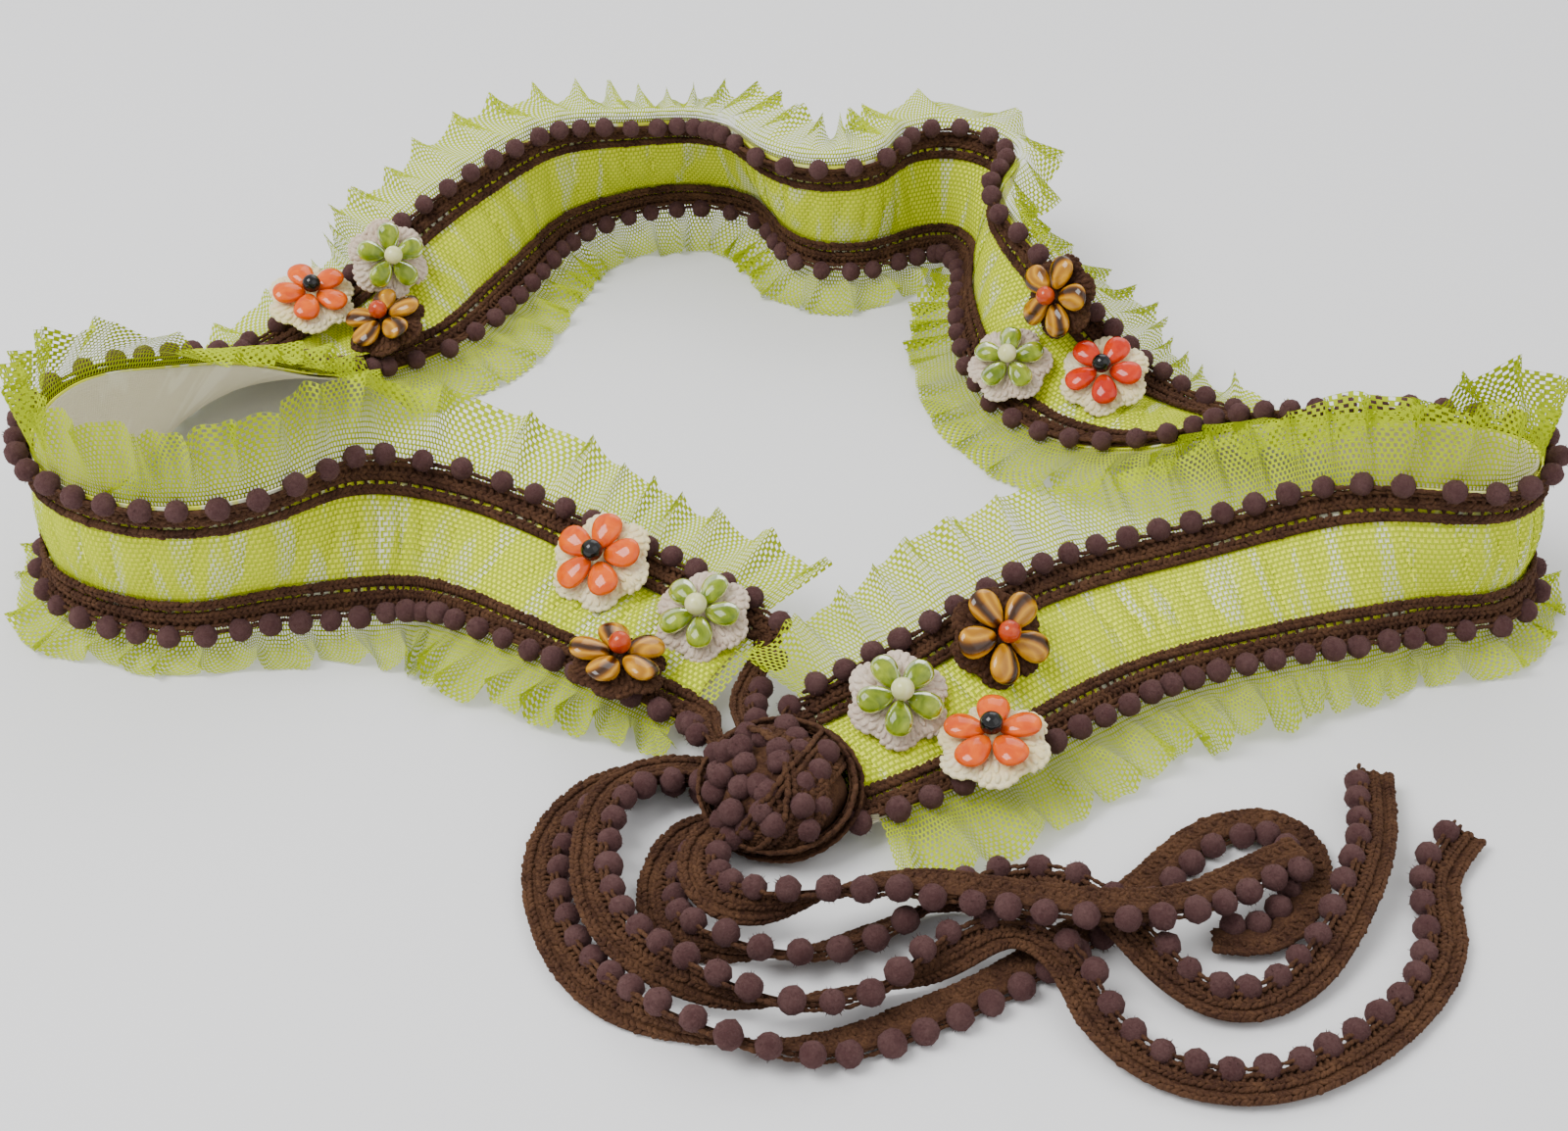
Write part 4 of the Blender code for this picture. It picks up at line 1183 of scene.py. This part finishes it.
def make_frayed_ends(random):
    """The lining's frayed ends, which stand out of the right tip's corners."""
    meshes = []
    for across in STRAND_PLACES:
        for strand in range(STRANDS):
            data = bmesh.new()
            bmesh.ops.create_grid(data, x_segments=8, y_segments=2, size=0.5)
            spots = corner_points(data)
            run = spots[:, 0] + 0.5
            bend = random.uniform(-0.004, 0.004)
            twist = random.uniform(0, 1.5)
            s = BAND.length - 0.002 + run * random.uniform(0.006, 0.009)
            wide = STRAND_WIDTH * spots[:, 1]
            u = across * CLOTH_HALF + bend * run ** 2 + wide * np.cos(twist * run)
            v = 0.0006 * strand + 0.0016 * run + wide * np.sin(twist * run)
            move_points(data, BAND.at(np.stack([s, u, v], axis=1)))
            bmesh.ops.solidify(data, geom=list(data.faces), thickness=STRAND_WALL)
            meshes.append(mesh_from(data, "strand"))
    new_piece("lining_frayed_ends", joined(meshes), MATERIALS["lining"])


def make_ruffles(net_sizes):
    """Both gathered net ruffles."""
    for name, side, lean, reach in (
            ("ruffle_upper", -1, BAND.extra[0], BAND.extra[2]),
            ("ruffle_lower", 1, BAND.extra[1], BAND.extra[3])):
        random = np.random.default_rng(SEEDS[name])
        cloth = RuffleCloth(side, lean, reach, random, net_sizes)
        long = BAND.length * net_sizes.fullness
        data = flat_net(long, cloth.depth, net_sizes, net_sizes.thread)
        net = new_piece(name + "_net", lay_net(data, cloth.at), MATERIALS["net"], False)
        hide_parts(name)


def make_trims(yarn_sizes):
    """The two crochet trims with their pompoms."""
    for name, side in (("trim_upper", -1), ("trim_lower", 1)):
        random = np.random.default_rng(SEEDS[name])

        def place(spots, side=side):
            turned = spots.copy()
            turned[:, 1] = side * (FACE_HALF + spots[:, 1])
            turned[:, 2] = TAPE_FLOOR + spots[:, 2]
            return BAND.at(turned)

        stitches = tape_stitches(place, BAND.length, random)
        backing = tape_ribbons(place, BAND.length, BAND_RIBBONS)
        tape = new_piece(name + "_tape", joined([stitches, *backing]), MATERIALS["brown"])
        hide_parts(name)
        centres = pompoms_along(place, BAND.length, TRIM_POMPOM_LINE, POMPOM / 2, random, yarn_sizes)
        add_pompoms(name, centres, random, yarn_sizes)


def make_ties(yarn_sizes):
    """The ties between the band and the knot, and the four tails."""
    routes = {**tie_routes(), **tail_routes()}
    centre = np.array(KNOT_SPOT) + np.array([0, 0, KNOT_SIZE[2] / 2])
    for number, (name, route) in enumerate(routes.items()):
        random = np.random.default_rng(SEEDS["ties"] + number)

        def place(spots, route=route):
            turned = spots.copy()
            turned[:, 1] = spots[:, 1] - TIE_WIDTH / 2
            turned[:, 2] = spots[:, 2] - TIE_DEPTH
            return route.at(turned)

        scale = TIE_POMPOM_LINE / TRIM_POMPOM_LINE
        stitches = tape_stitches(place, route.length, random, scale)
        backing = tape_ribbons(place, route.length, TIE_RIBBONS, scale)
        tape = new_piece(name + "_tape", joined([stitches, *backing]), MATERIALS["brown"])
        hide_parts(name)
        centres = pompoms_along(place, route.length, TIE_POMPOM_LINE, TIE_DEPTH, random, yarn_sizes)
        inside = np.linalg.norm((centres - centre) / (np.array(KNOT_SIZE) / 2), axis=1) < KNOT_INSIDE
        centres = centres[~inside]
        centres[:, 2] = np.maximum(centres[:, 2], POMPOM * POMPOM_LOWEST)
        if len(centres):
            add_pompoms(name, centres, random, yarn_sizes)


# Wraps of the knot.  Columns: turn of the wrap's axis about Z, its tilt from
# upright, both in degrees, shift of the wrap along its axis as a share of the
# knot's radius, and how far out it lies as a share of the radius
KNOT_WRAPS = [
    (245, 30, -0.66, 0.97),
    (240, 30, -0.34, 1.02),
    (252, 26, 0.02, 1.00),
    (205, 62, 0.30, 0.99),
    (150, 70, -0.20, 0.97),
]
# Pompoms on the knot fill a cap round this direction: turn about Z, tilt from
# upright and half width of the cap, all in degrees
KNOT_CAP = (238, 26, 66)
KNOT_POMPOMS = 27
# A tie's pompoms stop at this share of the knot's radius
KNOT_INSIDE = 0.9
# The woolly core's size as a share of the knot's, how lumpy it is, and how low a
# wrap may lie
KNOT_CORE = 0.93
KNOT_LUMP = 0.04
KNOT_LOWEST = 0.0003


def tilted(turn, tilt):
    """The rotation of an axis tilted from upright and then turned about Z."""
    return np.array(Matrix.Rotation(turn, 3, "Z") @ Matrix.Rotation(tilt, 3, "Y"))


def make_knot(yarn_sizes):
    """The knot: a woolly core, tapes wrapped round it and pompoms between them."""
    random = np.random.default_rng(SEEDS["knot"])
    half = np.array(KNOT_SIZE) / 2
    centre = np.array(KNOT_SPOT) + np.array([0, 0, half[2]])
    radius = half.mean()
    data = bmesh.new()
    bmesh.ops.create_icosphere(data, subdivisions=4, radius=1.0)
    for vert in data.verts:
        lump = KNOT_CORE + KNOT_LUMP * math.sin(9 * vert.co.x + 2) * math.sin(8 * vert.co.y)
        vert.co = Vector(np.array(vert.co) * half * lump + centre)
    new_piece("knot_core", data, MATERIALS["brown"])
    meshes = []
    centres = []
    for turn, tilt, slide, out in KNOT_WRAPS:
        spin = tilted(math.radians(turn), math.radians(tilt))

        def place(spots, spin=spin, slide=slide, out=out):
            round_angle = spots[:, 0] / radius
            rise = slide + (spots[:, 1] - TIE_WIDTH / 2) / radius
            flat = np.cos(rise)
            ball = [np.cos(round_angle) * flat, np.sin(round_angle) * flat, np.sin(rise)]
            ball = np.stack(ball, axis=1) @ spin.T
            points = centre + ball * half * out + ball * spots[:, 2:3]
            points[:, 2] = np.maximum(points[:, 2], KNOT_LOWEST)
            return points

        long = 2 * math.pi * radius
        meshes.append(tape_stitches(place, long, random))
        meshes.extend(tape_ribbons(place, long, TIE_RIBBONS))
    knot = new_piece("knot_wraps", joined(meshes), MATERIALS["brown"])
    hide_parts("knot")
    turn, tilt, reach = (math.radians(angle) for angle in KNOT_CAP)
    spin = tilted(turn, tilt)
    for i in range(KNOT_POMPOMS):
        a = i * GOLDEN_ANGLE
        b = reach * math.sqrt((i + 0.5) / KNOT_POMPOMS)
        way = spin @ np.array([math.cos(a) * math.sin(b), math.sin(a) * math.sin(b), math.cos(b)])
        centres.append(centre + way * (half * 0.98 + random.normal(0.0006, 0.0005)))
    centres = np.array(centres)
    centres = centres + random.normal(0, 0.0008, centres.shape)
    add_pompoms("knot", centres, random, yarn_sizes)


def flower_place(share, across_share, lift):
    """Where a flower rests: its rim on the face, its other side on the pompoms."""
    middle, along, across, face = BAND.frame(share * BAND.length)
    offset = across_share * BAND_WIDTH
    side = 1 if offset >= 0 else -1
    radius = FLOWER_WIDTH / 2
    run = BAND_WIDTH / 2 - abs(offset) + radius
    rise = TAPE_FLOOR + POMPOM - CLOTH_WALL
    tilt = math.atan2(rise, run)
    level = TAPE_FLOOR + rise * radius / run + lift * POMPOM
    origin = middle + across * offset + face * level
    rows = Matrix((along, -across, face)).transposed().to_4x4()
    return Matrix.Translation(origin) @ Matrix.Rotation(side * tilt, 4, along) @ rows


def flower_lobe(angle):
    """The rim's share of the flower's radius: full on a lobe, drawn in between two."""
    return 0.80 + 0.22 * np.abs(np.cos(LOBES * angle / 2)) ** 0.8


def flower_rim(angle, ring):
    """The outline of a flower at an angle, as a share of its radius: only outer rings have lobes."""
    return ring * (flower_lobe(angle) if ring > LOBED_FROM else 0.9)


def flower_disc(place, width):
    """The soft body of the crochet flower: lobed, domed and closed."""
    data = bmesh.new()
    made = bmesh.ops.create_circle(data, cap_ends=False, segments=LOBES * 8, radius=1.0)
    edges = list(data.edges)
    verts = made["verts"]
    angles = [math.atan2(vert.co.y, vert.co.x) for vert in verts]
    for number, (ring, rise) in enumerate(DISC_RINGS):
        if number:
            swept = bmesh.ops.extrude_edge_only(data, edges=edges)["geom"]
            edges = [item for item in swept if isinstance(item, bmesh.types.BMEdge)]
            verts = [item for item in swept if isinstance(item, bmesh.types.BMVert)]
            angles = [math.atan2(vert.co.y, vert.co.x) for vert in verts]
        for vert, angle in zip(verts, angles):
            radius = width / 2 * flower_rim(angle, ring)
            vert.co = (math.cos(angle) * radius, math.sin(angle) * radius, rise * FLOWER_WALL)
    bmesh.ops.holes_fill(data, edges=data.edges, sides=0)
    bmesh.ops.recalc_face_normals(data, faces=data.faces)
    bmesh.ops.transform(data, verts=data.verts, matrix=place)
    return mesh_from(data, "body")


# A flower's rings inside this share of its radius are plain rounds
LOBED_FROM = 0.6

# Rings of a flower's soft body: radius and height, both as shares
DISC_RINGS = ((0.55, 0.0), (0.90, 0.0), (1.0, 0.32), (0.97, 0.62), (0.80, 0.84), (0.45, 0.96))

# Crochet rounds of a flower.  Columns: ring radius as a share of the flower's,
# height as a share of its wall, stitches round it, stitch length and thickness in
# millimetres, slant from the ring in degrees
FLOWER_ROUNDS = [
    (0.22, 0.98, 10, 2.6, 1.5, 60),
    (0.42, 0.98, 18, 3.4, 1.5, 80),
    (0.64, 0.90, 24, 3.6, 1.6, 84),
    (0.84, 0.72, 36, 3.2, 1.6, 78),
    (0.97, 0.42, 42, 2.5, 1.7, 12),
]


def make_flowers():
    """The crochet bases, the bead petals and the centre beads."""
    stitch = stitch_unit(6, 4)
    for number, (name, share, across_share, turn, lift, kind) in enumerate(FLOWERS):
        random = np.random.default_rng(SEEDS["flowers"] + number)
        yarn, petal, centre, yarn_slot, petal_slot, centre_slot = FLOWER_PARTS[kind]
        place = flower_place(share, across_share, lift)
        matrix = np.array(place)
        width, petal_ring, *petal_size = FLOWER_SIZES[kind]
        body = flower_disc(place, width)
        batches = []
        for ring, rise, count, long, thick, slant in FLOWER_ROUNDS:
            angle = math.tau * (np.arange(count) + random.normal(0, 0.06, count)) / count
            radius = width / 2 * flower_rim(angle, ring)
            lean = angle + math.pi / 2 - np.radians(slant) + random.normal(0, 0.08, count)
            size = MM * (1 + random.normal(0, 0.06, count))
            spots = laid_stitches(stitch, (long, thick, thick), lean, size)
            level = np.full(count, rise * FLOWER_WALL)
            middle = np.stack([radius * np.cos(angle), radius * np.sin(angle), level], axis=1)
            batches.append(spots + middle[:, None])
        points = np.concatenate(batches) @ matrix[:3, :3].T + matrix[:3, 3]
        crochet = joined([body, copies_mesh(stitch, points)])
        base = new_piece("flower_%s_crochet" % name, crochet, MATERIALS[yarn])
        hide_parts("flower_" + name)
        on_base = place @ Matrix.Translation((0, 0, FLOWER_WALL + 0.0003))
        petals = bead_petals(on_base, turn, petal_ring, petal_size, random)
        thing = new_piece("petals_%s_beads" % name, petals, MATERIALS[petal])
        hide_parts("petals_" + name)
        data = bmesh.new()
        stand = on_base @ Matrix.Translation((0, 0, petal_size[2] * 0.62 + CENTRE_BEAD / 2))
        bmesh.ops.create_uvsphere(data, u_segments=20, v_segments=12, radius=CENTRE_BEAD / 2, matrix=stand)
        thing = new_piece("bead_%s_round" % name, data, MATERIALS[centre])
        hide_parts("bead_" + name)


def bead_petals(place, turn, ring, size, random):
    """Five oval beads set round the centre, with a UV map along each bead."""
    data = bmesh.new()
    layer = data.loops.layers.uv.new("bead")
    for i in range(PETALS):
        angle = math.radians(turn) + math.tau * i / PETALS
        pitch = random.uniform(-0.10, 0.06)
        roll = random.uniform(-0.12, 0.12)
        stand = place @ Matrix.Rotation(angle, 4, "Z")
        stand = stand @ Matrix.Translation((ring, 0, size[2] / 2))
        stand = stand @ Matrix.Rotation(pitch, 4, "Y") @ Matrix.Rotation(roll, 4, "X")
        made = bmesh.ops.create_uvsphere(data, u_segments=18, v_segments=12, radius=0.5)
        spin = Matrix.Rotation(math.radians(90), 3, "Y")
        shift = random.uniform(0, 20)
        flat = {}
        for vert in made["verts"]:
            spot = spin @ vert.co
            fuller = 1 + 0.55 * spot.x
            flat[vert] = (spot.x + shift, spot.y * 0.9 + spot.z * 0.5)
            vert.co = stand @ Vector((spot.x * size[0], spot.y * size[1] * fuller, spot.z * size[2]))
        for face in {face for vert in made["verts"] for face in vert.link_faces}:
            for loop in face.loops:
                loop[layer].uv = flat[loop.vert]
    return data


def make_stage(colours):
    """Floor, soft studio lights and the photograph's camera."""
    data = bmesh.new()
    bmesh.ops.create_grid(data, x_segments=2, y_segments=2, size=FLOOR_REACH)
    mesh = mesh_from(data, "floor")
    made, tree, shader = new_material("floor_paper", tuple(colours.floor), 0.9)
    noise = object_noise(tree, Scale=900.0, Detail=4.0)
    bump = add_node(tree, "ShaderNodeBump", Strength=0.05, Distance=0.0003)
    join_nodes(tree, (noise, "Fac", bump, "Height"), (bump, "Normal", shader, "Normal"))
    mesh.materials.append(made)
    floor = bpy.data.objects.new("floor", mesh)
    bpy.context.scene.collection.objects.link(floor)
    for name, power, size, spot in LAMPS:
        lamp = bpy.data.lights.new(name, "AREA")
        lamp.energy = power
        lamp.size = size
        thing = bpy.data.objects.new(name, lamp)
        thing.location = spot
        thing.rotation_euler = (-Vector(spot)).to_track_quat("-Z", "Y").to_euler()
        bpy.context.scene.collection.objects.link(thing)
    world = bpy.data.worlds.new("studio")
    world.use_nodes = True
    sky = world.node_tree.nodes["Background"]
    sky.inputs["Color"].default_value = (*WHITE, 1)
    sky.inputs["Strength"].default_value = SKY
    bpy.context.scene.world = world
    lens = bpy.data.cameras.new("camera")
    lens.lens = CAMERA_LENS
    lens.sensor_width = SENSOR
    lens.sensor_fit = "HORIZONTAL"
    lens.clip_start = 0.01
    camera = bpy.data.objects.new("camera", lens)
    camera.location = Vector((0, -CAMERA_BACK, CAMERA_HEIGHT)) + TABLE_SHIFT
    camera.rotation_euler = (math.radians(90 - CAMERA_DOWN), 0, 0)
    bpy.context.scene.collection.objects.link(camera)
    bpy.context.scene.camera = camera


class BELT_OT_materials(bpy.types.Operator):
    """Make the belt's materials from the panel's colours"""
    bl_idname = "belt.materials"
    bl_label = "Materials"

    def execute(self, context):
        make_materials(context.scene.belt_colours)
        return {"FINISHED"}


class BELT_OT_cloth(bpy.types.Operator):
    """Lay the lining, the cover cloth and its net"""
    bl_idname = "belt.cloth"
    bl_label = "Band cloth"

    def execute(self, context):
        make_cloth(context.scene.belt_net)
        return {"FINISHED"}


class BELT_OT_ruffles(bpy.types.Operator):
    """Gather the net of both ruffles"""
    bl_idname = "belt.ruffles"
    bl_label = "Ruffles"

    def execute(self, context):
        make_ruffles(context.scene.belt_net)
        return {"FINISHED"}


class BELT_OT_trims(bpy.types.Operator):
    """Crochet the two trims and hang their pompoms"""
    bl_idname = "belt.trims"
    bl_label = "Pompom trims"

    def execute(self, context):
        make_trims(context.scene.belt_yarn)
        return {"FINISHED"}


class BELT_OT_ties(bpy.types.Operator):
    """Crochet the ties and the four tails"""
    bl_idname = "belt.ties"
    bl_label = "Ties and tails"

    def execute(self, context):
        make_ties(context.scene.belt_yarn)
        return {"FINISHED"}


class BELT_OT_knot(bpy.types.Operator):
    """Wrap the knot"""
    bl_idname = "belt.knot"
    bl_label = "Knot"

    def execute(self, context):
        make_knot(context.scene.belt_yarn)
        return {"FINISHED"}


class BELT_OT_flowers(bpy.types.Operator):
    """Crochet the flowers and sew on their beads"""
    bl_idname = "belt.flowers"
    bl_label = "Bead flowers"

    def execute(self, context):
        make_flowers()
        return {"FINISHED"}


class BELT_OT_stage(bpy.types.Operator):
    """Set the floor, the lights and the camera"""
    bl_idname = "belt.stage"
    bl_label = "Stage"

    def execute(self, context):
        make_stage(context.scene.belt_colours)
        return {"FINISHED"}


OPERATORS = (
    BELT_OT_materials, BELT_OT_cloth, BELT_OT_ruffles, BELT_OT_trims,
    BELT_OT_ties, BELT_OT_knot, BELT_OT_flowers, BELT_OT_stage,
)


class BELT_PT_panel(bpy.types.Panel):
    """The belt's sizes, colours and pieces"""
    bl_idname = "BELT_PT_panel"
    bl_label = "Sash belt"
    bl_space_type = "VIEW_3D"
    bl_region_type = "UI"
    bl_category = "Sash belt"

    def draw(self, context):
        for operator in OPERATORS:
            self.layout.operator(operator.bl_idname)
        for group in (context.scene.belt_net, context.scene.belt_yarn, context.scene.belt_colours):
            for name in group.__annotations__:
                self.layout.prop(group, name)


GROUPS = (NetSizes, YarnSizes, BeltColours)


def register():
    for part in (*GROUPS, *OPERATORS, BELT_PT_panel):
        bpy.utils.register_class(part)
    bpy.types.Scene.belt_net = PointerProperty(type=NetSizes)
    bpy.types.Scene.belt_yarn = PointerProperty(type=YarnSizes)
    bpy.types.Scene.belt_colours = PointerProperty(type=BeltColours)


def unregister():
    del bpy.types.Scene.belt_net
    del bpy.types.Scene.belt_yarn
    del bpy.types.Scene.belt_colours
    for part in (BELT_PT_panel, *reversed(OPERATORS), *reversed(GROUPS)):
        bpy.utils.unregister_class(part)


def main():
    register()
    bpy.ops.belt.materials()
    bpy.ops.belt.stage()
    bpy.ops.belt.cloth()
    bpy.ops.belt.ruffles()
    bpy.ops.belt.trims()
    bpy.ops.belt.ties()
    bpy.ops.belt.knot()
    bpy.ops.belt.flowers()


if __name__ == "__main__":
    main()
